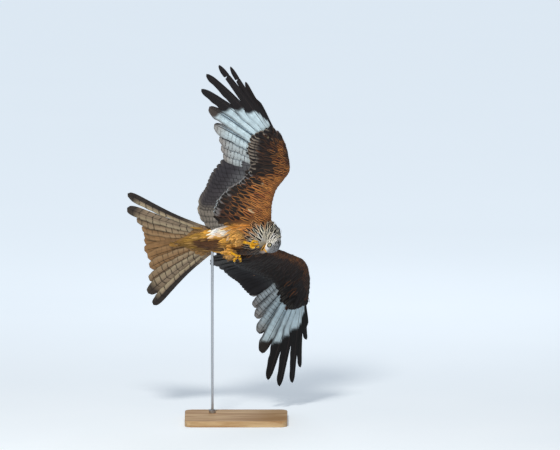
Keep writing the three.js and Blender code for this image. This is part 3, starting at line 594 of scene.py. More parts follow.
def vane_sheets(row, i, t, round_from=0.9, blunt=2.2, wear=None, camber=0.03, ridge=0.8):
    """Upper and lower faces of one closed vane, as arrays of stations by columns."""
    middle, side, normal, tilt = row.frame(i, t)
    lead = vane_width(row.outlines[i], t, 1, round_from, blunt) * row.widen[i]
    trail = vane_width(row.outlines[i], t, 2, round_from, blunt) * row.widen[i]
    if wear is not None:
        lead, trail = wear(t, lead, trail)
    offset = np.where(ACROSS > 0, ACROSS * lead[:, None], ACROSS * trail[:, None])
    place = middle[:, None] + side[:, None] * offset[..., None]
    place[..., 2] += (row.surface(place[..., 0], place[..., 1])
                      - row.surface(middle[:, 0], middle[:, 1])[:, None])
    height = tilt[:, None] * offset - camber * offset**2 / 20
    thick = np.broadcast_to(0.28 * (1 - np.abs(ACROSS) ** 4), offset.shape).copy()
    rachis = np.exp(-(ACROSS / 0.09) ** 2) * ridge * (1 - 0.85 * t[:, None])
    upper = place + normal[:, None] * (height + thick + 0.4 * rachis)[..., None]
    lower = place + normal[:, None] * (height - thick - rachis)[..., None]
    return upper, lower


def vane_quads(stations, columns):
    """Faces of a closed vane whose two sheets share their outline."""
    def upper(i, j):
        return i * columns + j

    inner = stations * columns

    def lower(i, j):
        edge = (i == 0) | (i == stations - 1) | (j == 0) | (j == columns - 1)
        return np.where(edge, upper(i, j), inner + (i - 1) * (columns - 2) + (j - 1))

    i, j = np.meshgrid(np.arange(stations - 1), np.arange(columns - 1), indexing="ij")
    i, j = i.ravel(), j.ravel()
    top = np.stack([upper(i, j), upper(i, j + 1), upper(i + 1, j + 1), upper(i + 1, j)], axis=1)
    low = np.stack([lower(i, j), lower(i + 1, j), lower(i + 1, j + 1), lower(i, j + 1)], axis=1)
    return np.concatenate([top, low])


def add_vane(mesh, row, i, paint, bake_box, turn, stations=40, **shape):
    """One closed flight feather: paint gives its looks at shares along and across it."""
    t = np.linspace(0, 1, stations) ** 0.92
    upper, lower = vane_sheets(row, i, t, **shape)

    def both(top, low):
        return np.concatenate([top.reshape(-1, *top.shape[2:]),
                               low[1:-1, 1:-1].reshape(-1, *low.shape[2:])])

    along, across = (both(share, share) for share in
                     np.broadcast_arrays(t[:, None], ACROSS))
    low, high = np.asarray(bake_box, float)
    places = turn(both(upper, lower))
    mesh.add(places, outward(places, vane_quads(stations, len(ACROSS))),
             vane=np.stack([across, along], axis=1),
             bake=low + (high - low) * np.stack([(across + 1) / 2, along], axis=1),
             **paint(along, across))


def blend(a, b, share):
    share = np.asarray(share)[..., None]
    return np.asarray(a) * (1 - share) + np.asarray(b) * share


def layers(tone, *coats):
    """A tone, or a named colour, with named colours laid over it by their shares."""
    tone = COLOUR[tone] if isinstance(tone, str) else tone
    for name, share in coats:
        tone = blend(tone, COLOUR[name], share)
    return tone


def vane_looks(t, tone, mark, streak, phase, bars):
    """Looks along a vane: its tone, the tone of its marks, and their widths and places."""
    def along(value, *size):
        return np.broadcast_to(value, (len(t), *size))

    return dict(tone=along(tone, 3), mark=along(layers(mark), 3),
                form=np.stack([along(streak), along(phase), along(bars)], axis=1))


# Primaries: share of the length where the pale base ends, as the photo's dark edge line runs
DARK_FROM = [1.4, 1.4, 1.4, 0.98, 0.86, 0.655, 0.525, 0.44, 0.35, 0.26]
PRIMARY_BARS = [0.95, 0.95, 0.9, 0.5, 0.12, 0, 0, 0, 0, 0]
# How drab the pale base of the innermost ones is
PRIMARY_DRAB = {0: 0.42, 1: 0.42, 2: 0.42, 3: 0.14}
# Painted shade: how much darker the flight feathers and lower coverts of the left wing are painted,
# for the shade that lies on that wing
IN_SHADE = dict(flight=0.68, coverts=0.8)


def primary_paint(i, shade):
    """A white base with bars on the inner feathers, black past the slots on the outer ones."""
    inner = i < 4

    def paint(t, u):
        pale = layers("window", ("grey", 0.45 * step(u, 0.1, 0.8)),
                      ("drab", PRIMARY_DRAB.get(i, 0.0)),
                      ("drab", (0.7 if inner else 0.25) * step(t, 0.74, 0.97)))
        black = layers("black", ("drab", 0.25 if i < FINGER_FIRST else 0.0))
        edge = DARK_FROM[i] - 0.05 * step(u, 0.0, 0.6) + 0.03 * step(-u, 0.5, 1.0)
        dark = step(t, edge - 0.02, edge + 0.02)
        # painted shadow: a dark rim along the trailing edge, for the gap between feathers
        rim = (0.45 if inner else 0.9) * step(-u, 0.9 - 0.3 * t, 0.97) * step(t, 0.3, 0.55)
        share = np.maximum(dark, rim)
        bars = PRIMARY_BARS[i] * step(t, 0.34, 0.5) * (1 - dark) * (1 - 0.5 * step(u, 0, 0.5))
        # painted shade: on the left wing the dark parts are darkened further
        return vane_looks(t, blend(pale, black, share) * (1 - shade * share)[:, None],
                          layers("secondary_bar", ("brown", 0.2)), 0.05,
                          18 * t + 0.5 * np.abs(u), bars)
    return paint


def secondary_paint(i, shade):
    """Dark barred feathers, paler by the body."""
    near_body = 1 - step(float(i), 3.0, 6.5)

    def paint(t, u):
        tone = layers("secondary", ("grey", 0.4 * (1 - step(t, 0.45, 0.8))),
                      ("pale", 0.22 * near_body),
                      ("pale", (0.1 + 0.3 * near_body) * step(t, 0.955, 0.99)),
                      ("black", 0.55 * step(-u, 0.8, 0.98)))
        # painted shade: on the left wing the feathers are darkened, more so by the body
        return vane_looks(t, tone * (1 - shade * (1 + 0.2 * near_body)), "secondary_bar", 0.045,
                          14 * t + 0.4 * np.abs(u), 0.85)
    return paint


def rectrix_paint(share):
    """Rufous in the middle of the tail, greyer and more barred outward, black at its edge."""
    def paint(t, u):
        outer = step(u, -0.25, 0.05) * step(share, 0.85, 0.95) * step(t, 0.15, 0.4)
        tip = step(t, 0.8, 0.94) * step(share, 0.5, 0.85)
        rim = 0.75 * step(-u, 0.84, 0.97) * step(share, 0.0, 0.3)
        tone = layers("tail", ("tail_grey", step(share, 0.25, 0.8)),
                      ("cream", 0.25 * share * step(-u, 0.1, 0.7)),
                      ("tail", 0.5 * step(t, 0.5, 0.9) * (1 - share)),
                      ("black", 0.92 * np.maximum(np.maximum(outer, tip), rim)))
        bars = np.clip(0.15 + share, 0, 0.75) * step(t, 0.1, 0.2)
        bars = bars * (1 - 0.5 * step(t, 0.75, 0.92) * (1 - share))
        return vane_looks(t, tone, "tail_bar", 0.045, 13 * t + 0.25 * np.abs(u), bars)
    return paint


def on_surface(surface, plan, lift=0.0):
    x, y = np.asarray(plan, float).T
    base = np.stack([x, y, surface(x, y)], axis=1)
    return base + np.reshape(lift, (-1, 1)) * surface_normal(surface, x, y)


def primary_row(wing):
    wrist = wing["front"][WRIST_STATION] - np.array(WRIST_INSET)
    end = wing["front"][-1] - np.array(HAND_END_INSET)
    tips = seen_place(finger_height, wing["primary_tips"], wing["side"])
    count = len(tips)
    share = (np.arange(count) + 0.5) / (count - 0.5)
    roots = wrist + share[:, None] * (end - wrist)
    lifts = PRIMARY_ROOT_STEP * ((count - 1) / 2 - np.arange(count))
    outlines = [INNER_PRIMARY_OUTLINE] * FINGER_FIRST + [finger_outline(*f) for f in FINGERS]
    return Row(on_surface(wing_height, roots, lifts), on_surface(wing_height, tips),
               outlines, wing_height, wing["primary_bow"], rises=finger_rise(*tips.T))


def arm_row(wing):
    wrist = wing["front"][WRIST_STATION] - np.array(WRIST_INSET)
    edge = seen_place(wing_height, wing["trailing_edge"], wing["side"])
    share = np.linspace(0, 1, SECONDARY_COUNT)[:, None]
    roots = np.concatenate([TERTIAL_ROOTS, np.array(ELBOW) + share * (wrist - np.array(ELBOW))])
    tips = np.concatenate([TERTIAL_TIPS, through(edge[::-1], SECONDARY_COUNT)])
    return Row(on_surface(wing_height, roots), on_surface(wing_height, tips),
               [SECONDARY_OUTLINE] * len(roots), wing_height, 0.03)


def tail_row(tips, side):
    share = np.linspace(0, 1, len(tips))
    plan = seen_place(tail_height, tips, side)
    plan[:, 1] = np.maximum(plan[:, 1], TAIL_ROOT_MIDDLE)
    roots = np.stack([TAIL_ROOT + 6 * share, TAIL_ROOT_MIDDLE + TAIL_ROOT_HALF_WIDTH * share],
                     axis=1)
    return Row(on_surface(tail_height, roots), on_surface(tail_height, plan),
               [RECTRIX_OUTLINE] * len(tips), tail_height, -TAIL_BOW,
               widen=np.where(share == 1, 0.78, 1.0))


# Finger wear that the photo shows on the right wing: share along, depth of the nick
NICKS = {7: 0.865, 8: 0.845}


def nicked(i):
    """A worn cut from the trailing edge nearly to the shaft, and a smaller one before it."""
    def wear(t, lead, trail):
        cut = np.exp(-((t - NICKS[i]) / 0.005) ** 2)
        return lead * (1 - 0.2 * cut), trail * (1 - 0.85 * cut)
    return wear


def frayed(seed, amount=0.03):
    """Small waves in a vane's outline, different on each feather."""
    a, b, c = np.random.default_rng(seed).uniform(0, 6.28, 3)

    def wear(t, lead, trail):
        wave = amount * (np.sin(23 * t + a) + 0.6 * np.sin(41 * t + b) + 0.5 * np.sin(67 * t + c))
        return lead, trail * (1 + wave * step(t, 0.2, 0.5))
    return wear


def strip(i, count):
    """Each flight feather has its own strip of the bake map, as its bars run along it."""
    pad = 0.08 / count
    return (i / count + pad, 0.02), ((i + 1) / count - pad, 0.98)


def flight_feathers(wing, material):
    mesh = Mesh()
    hand, arm = primary_row(wing), arm_row(wing)
    first, total = len(hand.roots), len(hand.roots) + len(arm.roots)
    # painted shade on the left wing's flight feathers
    shade = IN_SHADE["flight"] if wing["side"] > 0 else 0.0

    def turn(points):
        return to_side(wing, points)

    for i in range(first):
        worn = wing["side"] < 0 and i in NICKS
        shape = (dict(round_from=0.9, blunt=2.0, camber=0.05) if i >= FINGER_FIRST
                 else dict(round_from=0.84, blunt=2.3, camber=0.03))
        add_vane(mesh, hand, i, primary_paint(i, shade), strip(i, total), turn,
                 stations=110 if worn else 56, wear=nicked(i) if worn else frayed(i), **shape)
    for i in range(len(arm.roots)):
        add_vane(mesh, arm, i, secondary_paint(i, shade), strip(first + i, total), turn,
                 wear=frayed(40 + i), round_from=0.86, blunt=2.4)
    return mesh.make(f"flight_feathers_{wing['name']}", material, VANE_CREASE)


# Greater coverts: first and last share of the span and how many, on the arm and on the hand
ARM_COVERTS, HAND_COVERTS, HAND_FROM = (0.02, 0.6, 21), (0.63, 0.985, 15), 0.61


def covert_rows(wing, material, under):
    """The greater coverts: one tier over the roots of all flight feathers of a wing."""
    mesh = Mesh()
    s = np.concatenate([np.linspace(*ARM_COVERTS), np.linspace(*HAND_COVERTS)])
    s = s + RNG.uniform(-0.004, 0.004, len(s))
    reach = 1.0 + RNG.uniform(-0.02, 0.02, len(s))
    # painted shade on the left wing's lower coverts
    shade = IN_SHADE["coverts"] if under and wing["side"] > 0 else 0.0
    for hand in (False, True):
        part = np.flatnonzero((s > HAND_FROM) == hand)
        roots = lining_point(wing, s[part], np.full(len(part), 0.5), under, lift=-1.0)
        tips = lining_point(wing, s[part], reach[part], under, lift=2.4)
        row = Row(roots, tips, [COVERT_OUTLINE] * len(part), wing_height, 0.02,
                  widen=np.full(len(part), 0.8 if hand else 0.95))
        for i, n in enumerate(part):
            add_vane(mesh, row, i, covert_paint(hand, under, shade), strip(int(n), len(s)),
                     lambda points: to_side(wing, points), stations=16, round_from=0.72,
                     blunt=2.2, camber=-0.03 if under else 0.03, ridge=0.25)
    side = "under" if under else "upper"
    return mesh.make(f"greater_coverts_{side}_{wing['name']}", material, VANE_CREASE)


def covert_paint(hand, under, shade):
    """Greater coverts: dark with pale edges below, brown with buff edges above."""
    def paint(t, u):
        edge = np.abs(u) ** 4
        if under and hand:
            rim = np.maximum(edge * step(t, 0.4, 0.8), step(t, 0.94, 0.99))
            tone = layers("black", ("drab", 0.3 * step(t, 0.3, 0.7)), ("pale", 0.3 * rim))
            mark, width, bars = "black", 0.5, 0.7
        elif under:
            tone = layers("black", ("deep", 0.3 + 0.4 * edge),
                          ("grey", 0.4 * step(t, 0.75, 0.9)),
                          ("window", 0.75 * step(t, 0.94, 0.98) * step(u, -0.6, 0.3)))
            mark, width, bars = "streak", 0.45, 0.0
        else:
            tone = layers("dark", ("back", 0.25 if hand else 0.6),
                          ("back_edge", 0.6 * np.maximum(edge, step(t, 0.9, 1))))
            mark, width, bars = "streak", 0.25, 0.0
        return vane_looks(t, tone * (1 - shade), mark, width, 3.2 * t, bars)
    return paint


def tail_halves():
    """Each half of the tail as a row, with the turn that takes it to its side."""
    for tips, side in ((RIGHT_TAIL_TIPS, -1), (LEFT_TAIL_TIPS, 1)):
        def turn(points, side=side):
            return (points + np.array([0, 0, -0.8 * side])) * np.array([1, side, 1])
        yield tail_row(tips, side), turn


def tail_feathers(material):
    mesh = Mesh()
    for half, (row, turn) in enumerate(tail_halves()):
        count = len(row.roots)
        for i in range(count):
            n = half * count + i
            add_vane(mesh, row, i, rectrix_paint(i / (count - 1)), strip(n, 2 * count),
                     stations=48, turn=turn, wear=frayed(80 + n, 0.05), round_from=0.9, blunt=2.4)
    return mesh.make("tail_feathers", material, VANE_CREASE)


# Tail coverts: where their tips lie along the tail feathers, and how far off them
TAIL_COVERT_TIERS = [(0.52, 4.4), (0.4, 6.2), (0.33, 8.0)]
TAIL_COVERT_TAPER = 0.68


def tail_covert_paint(share, under):
    inner, outer = ("undertail", "tail_grey") if under else ("rufous", "tail")
    outward_share = step(share, 0.75, 1.0)

    def paint(t, u):
        tone = layers(inner, (outer, outward_share), ("tail", 0.7 * step(t, 0.45, 0.99)))
        return vane_looks(t, tone, "tail_bar", 0.06, 5 * t, 0.6 * outward_share)
    return paint


def tail_coverts(material, under):
    """Tiers of coverts over the roots of the tail feathers."""
    mesh = Mesh()
    sign, tiers = -1 if under else 1, len(TAIL_COVERT_TIERS)
    for half, (row, turn) in enumerate(tail_halves()):
        count = len(row.roots)
        taper = 1 - TAIL_COVERT_TAPER * np.linspace(0, 1, count)
        for tier, (reach, lift) in enumerate(TAIL_COVERT_TIERS):
            ends = []
            for share, height in ((0.0, 0.6 * lift), (reach, lift)):
                frames = [row.frame(i, np.array([share * taper[i]])) for i in range(count)]
                ends.append([middle[0] + sign * height * normal[0]
                             for middle, _, normal, _ in frames])
            tier_row = Row(*ends, [COVERT_OUTLINE] * count, tail_height, -0.02,
                           widen=np.linspace(1.15, 0.7, count))
            for i in range(count):
                n = (half * tiers + tier) * count + i
                add_vane(mesh, tier_row, i, tail_covert_paint(i / (count - 1), under),
                         strip(n, 2 * tiers * count), turn, stations=16, round_from=0.7,
                         blunt=2.2, camber=0.03 * sign, ridge=0.3)
    name = "tail_coverts_under" if under else "tail_coverts_upper"
    return mesh.make(name, material, VANE_CREASE)


# Materials

class Nodes:
    """Short ways to wire a node material."""

    def __init__(self, name):
        self.material = bpy.data.materials.new(name)
        self.material.use_nodes = True
        self.tree = self.material.node_tree
        self.shader = self.tree.nodes["Principled BSDF"]

    def put(self, target, value):
        """Feeds a socket from another one, from a #rrggbb code or from a plain value."""
        if hasattr(value, "is_output"):
            self.tree.links.new(value, target)
        else:
            target.default_value = (*srgb(value), 1) if isinstance(value, str) else value

    def node(self, kind, values=(), output=0, **settings):
        """One output of a new node, its sockets fed in their order or by their keys."""
        node = self.tree.nodes.new("ShaderNode" + kind)
        for name, value in settings.items():
            setattr(node, name, value)
        for key, value in values.items() if isinstance(values, dict) else enumerate(values):
            self.put(node.inputs[key], value)
        return node.outputs[output]

    def math(self, operation, *values, clamp=False):
        return self.node("Math", values, operation=operation, use_clamp=clamp)

    def times(self, first, *others):
        for other in others:
            first = self.math("MULTIPLY", first, other)
        return first

    def line(self, value, slope, offset):
        return self.math("MULTIPLY_ADD", value, slope, offset)

    def smooth(self, value, low, high):
        return self.node("MapRange", (value, low, high, 0.0, 1.0),
                         interpolation_type="SMOOTHSTEP")

    def mix(self, share, a, b, mode="MIX"):
        return self.node("Mix", {0: share, 6: a, 7: b}, 2, data_type="RGBA", blend_type=mode)

    def lit(self, colour, light):
        """A colour times a grey."""
        return self.mix(1.0, colour, self.node("CombineColor", [light] * 3), "MULTIPLY")

    def attribute(self, name, output="Color"):
        return self.node("Attribute", (), output, attribute_name=name)

    def form(self):
        return self.split(self.attribute("form", "Vector"))

    def split(self, vector):
        return self.node("SeparateXYZ", [vector], slice(0, 3))

    def place(self):
        return self.node("TexCoord", (), "Object")

    def stretched(self, *scale):
        return self.node("Mapping", {"Vector": self.place(), "Scale": scale})

    def noise(self, scale, detail=3.0, coordinates=None):
        if coordinates is None:
            coordinates = self.place()
        return self.node("TexNoise", {"Vector": coordinates, "Scale": scale, "Detail": detail},
                         "Fac")

    def bump(self, height, strength, distance):
        self.set(Normal=self.node("Bump", {"Height": height, "Strength": strength,
                                           "Distance": distance}))

    def set(self, **values):
        """Feeds the shader's own sockets."""
        for name, value in values.items():
            self.put(self.shader.inputs[name.replace("_", " ")], value)


def plumage_material():
    """Vanes: their own tones, with a dark shaft streak or bars, and fine oblique barbs."""
    n = Nodes("plumage")
    across, along, _ = n.split(n.node("UVMap", uv_map="Vane"))
    streak_width, phase, bar_strength = n.form()
    out = n.math("ABSOLUTE", across)

    wobble = n.line(n.noise(90.0), 0.2, n.times(out, 0.12))
    wave = n.math("SINE", n.times(n.math("ADD", phase, wobble), 2 * math.pi))
    broken = n.line(n.smooth(n.noise(75.0, 2.0), 0.36, 0.56), 0.85, 0.15)
    bar = n.times(n.smooth(wave, 0.7, 0.95), bar_strength, broken)

    side = n.math("DIVIDE", out, n.math("MAXIMUM", streak_width, 0.001))
    ragged = n.math("ADD", side, n.line(n.noise(320.0), 0.5, -0.25))
    streak = n.times(n.smooth(ragged, 1.15, 0.75), n.smooth(along, 0.05, 0.3),
                     n.smooth(along, 1.0, 0.93), n.smooth(streak_width, 0.0, 0.03))
    marked = n.mix(n.math("MAXIMUM", streak, bar), n.attribute("tone"), n.attribute("mark"))

    slant = n.math("SUBTRACT", n.times(along, 150.0), n.times(out, 26.0))
    barbs = n.math("SINE", n.times(slant, 2.2))
    fringe = n.times(n.smooth(out, 0.45, 1.0), n.smooth(streak_width, 0.08, 0.2))
    level = n.times(n.split(n.place())[2], 6.0)
    fibres = n.node("CombineXYZ", (n.times(across, 7.0), n.times(along, 2.0), level))
    light = n.times(n.line(n.noise(40.0, 4.0), 0.7, 0.65), n.line(barbs, 0.05, 1.0),
                    n.line(fringe, 0.3, 1.0), n.line(n.noise(1.0, 3.0, fibres), 0.6, 0.7))
    n.bump(barbs, 0.2, 0.0004)
    n.set(Base_Color=n.lit(marked, light), Roughness=0.62, Sheen_Weight=0.04,
          Sheen_Roughness=0.5, Specular_IOR_Level=0.22)
    return n.material


def skin_material():
    """The ground under the vanes, in their tones darkened as painted shade in the gaps between
    them.
    """
    n = Nodes("plumage_ground")
    n.bump(n.noise(900.0, 2.0), 0.5, 0.001)
    n.set(Base_Color=n.lit(n.attribute("tone"), n.line(n.noise(120.0, 5.0), 0.6, 0.6)),
          Roughness=0.85, Sheen_Weight=0.03)
    return n.material


def scaly_material(name, light, shade, scale=1500.0, roughness=0.35):
    """Horny skin: small plates with darker joints."""
    n = Nodes(name)
    gap = n.node("TexVoronoi", {"Vector": n.place(), "Scale": scale}, "Distance",
                 feature="DISTANCE_TO_EDGE")
    plates = n.smooth(gap, 0.0, 0.12)
    ground = n.mix(n.smooth(n.noise(160.0), 0.35, 0.7), light, shade)
    n.bump(plates, 0.6, 0.0006)
    n.set(Base_Color=n.mix(plates, (*srgb(shade) * 0.55, 1), ground), Roughness=roughness,
          Specular_IOR_Level=0.5)
    return n.material


def horn_material(name, light, shade, roughness=0.3):
    """Horn: faint growth lines along it, from base to tip."""
    n = Nodes(name)
    grain = n.noise(220.0, 5.0)
    share = n.math("ADD", n.form()[0], n.line(grain, 0.35, -0.17), clamp=True)
    n.bump(grain, 0.15, 0.0005)
    n.set(Base_Color=n.mix(share, light, shade), Roughness=roughness, Specular_IOR_Level=0.5)
    return n.material


def eye_material():
    """A pale straw iris with fine spokes, a black pupil and a dark rim, under a wet gloss."""
    n = Nodes("eye")
    ring, turn, _ = n.form()
    spokes = n.node("CombineXYZ", (n.times(turn, 9.0), n.times(ring, 2.0)))
    iris = n.mix(n.noise(3.0, 4.0, spokes), "#c4b377", "#f3ecc4")
    iris = n.mix(n.smooth(ring, 0.76, 0.9), iris, "#15100c")
    n.set(Base_Color=n.mix(n.smooth(ring, 0.49, 0.44), iris, (0.004, 0.004, 0.004, 1)),
          Roughness=0.08, Coat_Weight=1.0, Coat_Roughness=0.03, Specular_IOR_Level=0.6)
    return n.material


def wood_material():
    """Oiled pale wood: rings drawn out along the base."""
    n = Nodes("oiled_wood")
    grain = n.stretched(1.6, 14.0, 14.0)
    fine = n.noise(26.0, 3.0, grain)
    rings = n.smooth(n.noise(2.6, 6.0, grain), 0.35, 0.65)
    share = n.math("ADD", rings, n.times(fine, 0.35), clamp=True)
    n.bump(fine, 0.12, 0.0006)
    n.set(Base_Color=n.mix(share, "#d8b98c", "#ad8454"), Roughness=0.48, Coat_Weight=0.12,
          Coat_Roughness=0.3)
    return n.material


def steel_material():
    """Satin steel with faint marks of turning."""
    n = Nodes("satin_steel")
    lines = n.noise(3.0, 2.0, n.stretched(2.0, 2.0, 900.0))
    n.bump(lines, 0.08, 0.0002)
    n.set(Base_Color=n.mix(lines, (0.42, 0.44, 0.46, 1), (0.62, 0.63, 0.65, 1)), Metallic=1.0,
          Roughness=n.line(lines, 0.15, 0.24))
    return n.material


def floor_material():
    """A pale floor with a barely seen mottle, bright as a hazy sky also where the lamp is far."""
    n = Nodes("pale_floor")
    x, y, _ = n.split(n.place())
    beyond = n.math("ADD", y, 1.0)
    far = n.math("SQRT", n.math("ADD", n.times(x, x), n.times(beyond, beyond)))
    n.set(Base_Color=n.mix(n.noise(1.5, 2.0), (0.70, 0.76, 0.82, 1), (0.76, 0.81, 0.86, 1)),
          Emission_Strength=n.line(n.smooth(far, 0.4, 6.5), 0.46, 0.28),
          Emission_Color=(0.8, 0.89, 0.97, 1), Roughness=0.9, Specular_IOR_Level=0.2)
    return n.material


# The skin and the small feathers over it

# Grain of the joined skin, and how far round an eye's line of sight no feather is rooted
SKIN_VOXEL, EYE_CLEAR = 2.3, 10.2


def build_skin(right, left):
    """One closed skin over all the flesh, without a seam, and the forms it was made from."""
    forms = dict(
        torso=body_rings(BODY_STATIONS, count=90, grow=-1.6),
        base=body_rings(TAIL_BASE_STATIONS, grow=-0.8),
        neck=tube_rings(NECK_STATIONS, grow=-1.2),
        head=from_head(head_rings(HEAD_STATIONS, grow=-1.2)),
        thigh_right=tube_rings(thigh_stations(RIGHT_LEG), grow=-2.0),
        thigh_left=tube_rings(thigh_stations(LEFT_LEG), grow=-2.0),
        wing_right=wing_rings(right),
        wing_left=wing_rings(left),
    )
    meshes = {name: capped(rings) for name, rings in forms.items()}
    places, faces = [], []
    for verts, quads in meshes.values():
        faces += face_lists(quads + len(places))
        places += verts.tolist()
    whole = bpy.data.meshes.new("skin_forms")
    whole.from_pydata(places, [], faces)
    source = add_object("skin_forms", whole)
    remesh = source.modifiers.new("join", "REMESH")
    remesh.mode, remesh.voxel_size = "VOXEL", SKIN_VOXEL
    relax = source.modifiers.new("relax", "SMOOTH")
    relax.factor, relax.iterations = 0.5, 3
    evaluated = source.evaluated_get(bpy.context.evaluated_depsgraph_get())
    made = evaluated.to_mesh()
    verts = np.empty((len(made.vertices), 3), np.float32)
    made.vertices.foreach_get("co", verts.ravel())
    made.calc_loop_triangles()
    tris = np.empty((len(made.loop_triangles), 3), np.int32)
    made.loop_triangles.foreach_get("vertices", tris.ravel())
    evaluated.to_mesh_clear()
    bpy.data.objects.remove(source)
    return eye_sockets(verts.astype(float)), tris, meshes


def eye_frame(side):
    """The middle of an eye and the way it looks, in the head's directions."""
    mirror = np.array([1, 1, side])
    return EYE_PLACE * mirror, unit(EYE_LOOK * mirror)


def off_sight(head, side):
    """How far places lie ahead of an eye, and how far beside its line of sight."""
    centre, look = eye_frame(side)
    depth = (head - centre) @ look
    return depth, np.linalg.norm(head - centre - depth[:, None] * look, axis=1)


def eye_sockets(verts):
    """Presses the skin in round each eye, so that the ball shows between its lids."""
    head = to_head(verts)
    for side in (1, -1):
        depth, beside = off_sight(head, side)
        pull = (1 - step(beside, 7.0, 11.5)) * ((beside < 12) & (depth > -2))
        sink = (np.minimum(depth, SOCKET_LEVEL) - depth) * pull
        head = head + sink[:, None] * eye_frame(side)[1]
    return from_head(head)


def vertex_normals(verts, tris):
    p = verts[tris]
    face = np.cross(p[:, 1] - p[:, 0], p[:, 2] - p[:, 0])
    normals = np.zeros_like(verts)
    for k in range(3):
        np.add.at(normals, tris[:, k], face)
    return unit(normals)


def nearest(mesh, points):
    verts, quads = mesh
    tree = BVHTree.FromPolygons(verts.tolist(), face_lists(quads))
    return np.array([tree.find_nearest(p)[3] for p in points.tolist()])


def segment_flow(points, stations):
    """Direction of the nearest length of a line of stations."""
    line = np.array([s[:3] for s in stations], float)
    a, b = line[:-1], line[1:]
    d = b - a
    t = np.clip(np.einsum("nsk,sk->ns", points[:, None] - a[None], d) / (d**2).sum(1), 0, 1)
    gap = np.linalg.norm(points[:, None] - a[None] - t[..., None] * d[None], axis=2)
    return unit(d)[gap.argmin(axis=1)]


class Regions:
    """Which form each place on the skin belongs to, and how feathers lie there."""

    ORDER = ("torso", "base", "neck", "head", "thigh_right", "thigh_left", "wing_right",
             "wing_left")
    # how wide forms blend into one another, and how far from the head the mantle ends
    BLEND_OVER, MANTLE_RIM = 4.0, (84, 104)

    def __init__(self, points, normals, meshes, rails):
        self.points, self.normals, self.rails = points, normals, rails
        gaps = np.stack([nearest(meshes[name], points) for name in self.ORDER], axis=1)
        near = np.exp(-(gaps - gaps.min(axis=1, keepdims=True)) / self.BLEND_OVER)
        near /= near.sum(axis=1, keepdims=True)
        self.share = {name: near[:, k] for k, name in enumerate(self.ORDER)}
        self.form = near.argmax(axis=1)
        self.wings = self.share["wing_right"] + self.share["wing_left"]
        self.wing = np.where(self.share["wing_left"] > self.share["wing_right"], 1, 0)
        shares = [rail_share(rails[name], points) for name in ("right", "left")]
        self.s, self.c = np.where(self.wing == 1, shares[1], shares[0])
        self.under = normals[:, 2] < 0
        self.head = to_head(points)
        # neck plumage spreads from the head over the shoulders and the front of the breast
        gap = np.linalg.norm(points - HEAD_PLACE, axis=1)
        self.from_head = gap + 6 * noise_at(points, 20, 31)
        mantle = 1 - step(self.from_head, *self.MANTLE_RIM)
        self.mantle = mantle * (1 - self.share["head"]) * (1 - 0.6 * self.wings)

    def flow(self):
        """The way the feathers point."""
        back = np.array([-1.0, 0, 0])
        flow = (self.share["torso"] + self.share["base"])[:, None] * back
        flow = flow - self.share["neck"][:, None] * segment_flow(self.points, NECK_STATIONS)
        flow -= self.share["head"][:, None] * HEAD_AXES[:, 0]
        for name, leg in (("right", RIGHT_LEG), ("left", LEFT_LEG)):
            down = segment_flow(self.points, thigh_stations(leg))
            flow += self.share[f"thigh_{name}"][:, None] * unit(0.7 * down + back)
        lean = 0.5 * (1 - step(self.s, 0.4, 0.66)) + 0.6 * step(self.s, 0.68, 0.95)
        out = np.stack([0 * lean, np.sin(lean)], axis=1)
        for name, wing in self.rails.items():
            front, rear = rail_ends(wing, self.s)
            x, y = unit(unit(rear - front) * np.cos(lean)[:, None] + out).T
            plan = np.stack([x, wing["side"] * y, 0 * x], axis=1)
            flow += self.share[f"wing_{name}"][:, None] * plan
        away = unit(self.points - HEAD_PLACE + np.array([12.0, 0, 0]))
        flow = blend(flow, away, 0.9 * self.mantle)
        flow -= (flow * self.normals).sum(1)[:, None] * self.normals
        return unit(flow)

    def blend(self, **values):
        """A value at each place, from the value of each form."""
        total = 0
        for name in self.ORDER:
            value = np.asarray(values.get(name.split("_")[0], values["torso"]))
            share = self.share[name]
            total = total + (share[:, None] if value.ndim == 2 else share) * value
        return total


def noise_at(points, scale, seed=0):
    """Smooth noise from -1 to 1 at places: a few crossed waves."""
    rng = np.random.default_rng(seed)
    total = np.zeros(len(points))
    for _ in range(6):
        direction = unit(rng.normal(size=3)) * rng.uniform(0.6, 1.5) / scale
        total += np.sin(points @ direction * 6.28 + rng.uniform(0, 6.28))
    return total / 3.2


def near_place(points, place, low, high, stretch=1.0):
    """1 within low of a place, 0 beyond high; stretch lengthens that along the body."""
    off = (points - np.asarray(place, float)) / np.array([stretch, 1, 1])
    return 1 - step(np.linalg.norm(off, axis=1), low, high)


def plan_place(across, up, side):
    """Where a place seen on a wing lies in plan."""
    return seen_place(wing_height, [(across, up)], side)[0] * np.array([1, side])


# White flecks on the dark patches of both wings and on the right lining, as seen
PALE_FLECKS = [plan_place(*seen) for seen in (
    (43, 378, -1), (52, 369, -1), (48, 326, -1), (60, 322, -1), (-25, 104, -1), (4, 102, -1),
    (18, 204, -1), (124, -144, 1), (140, -150, 1))]


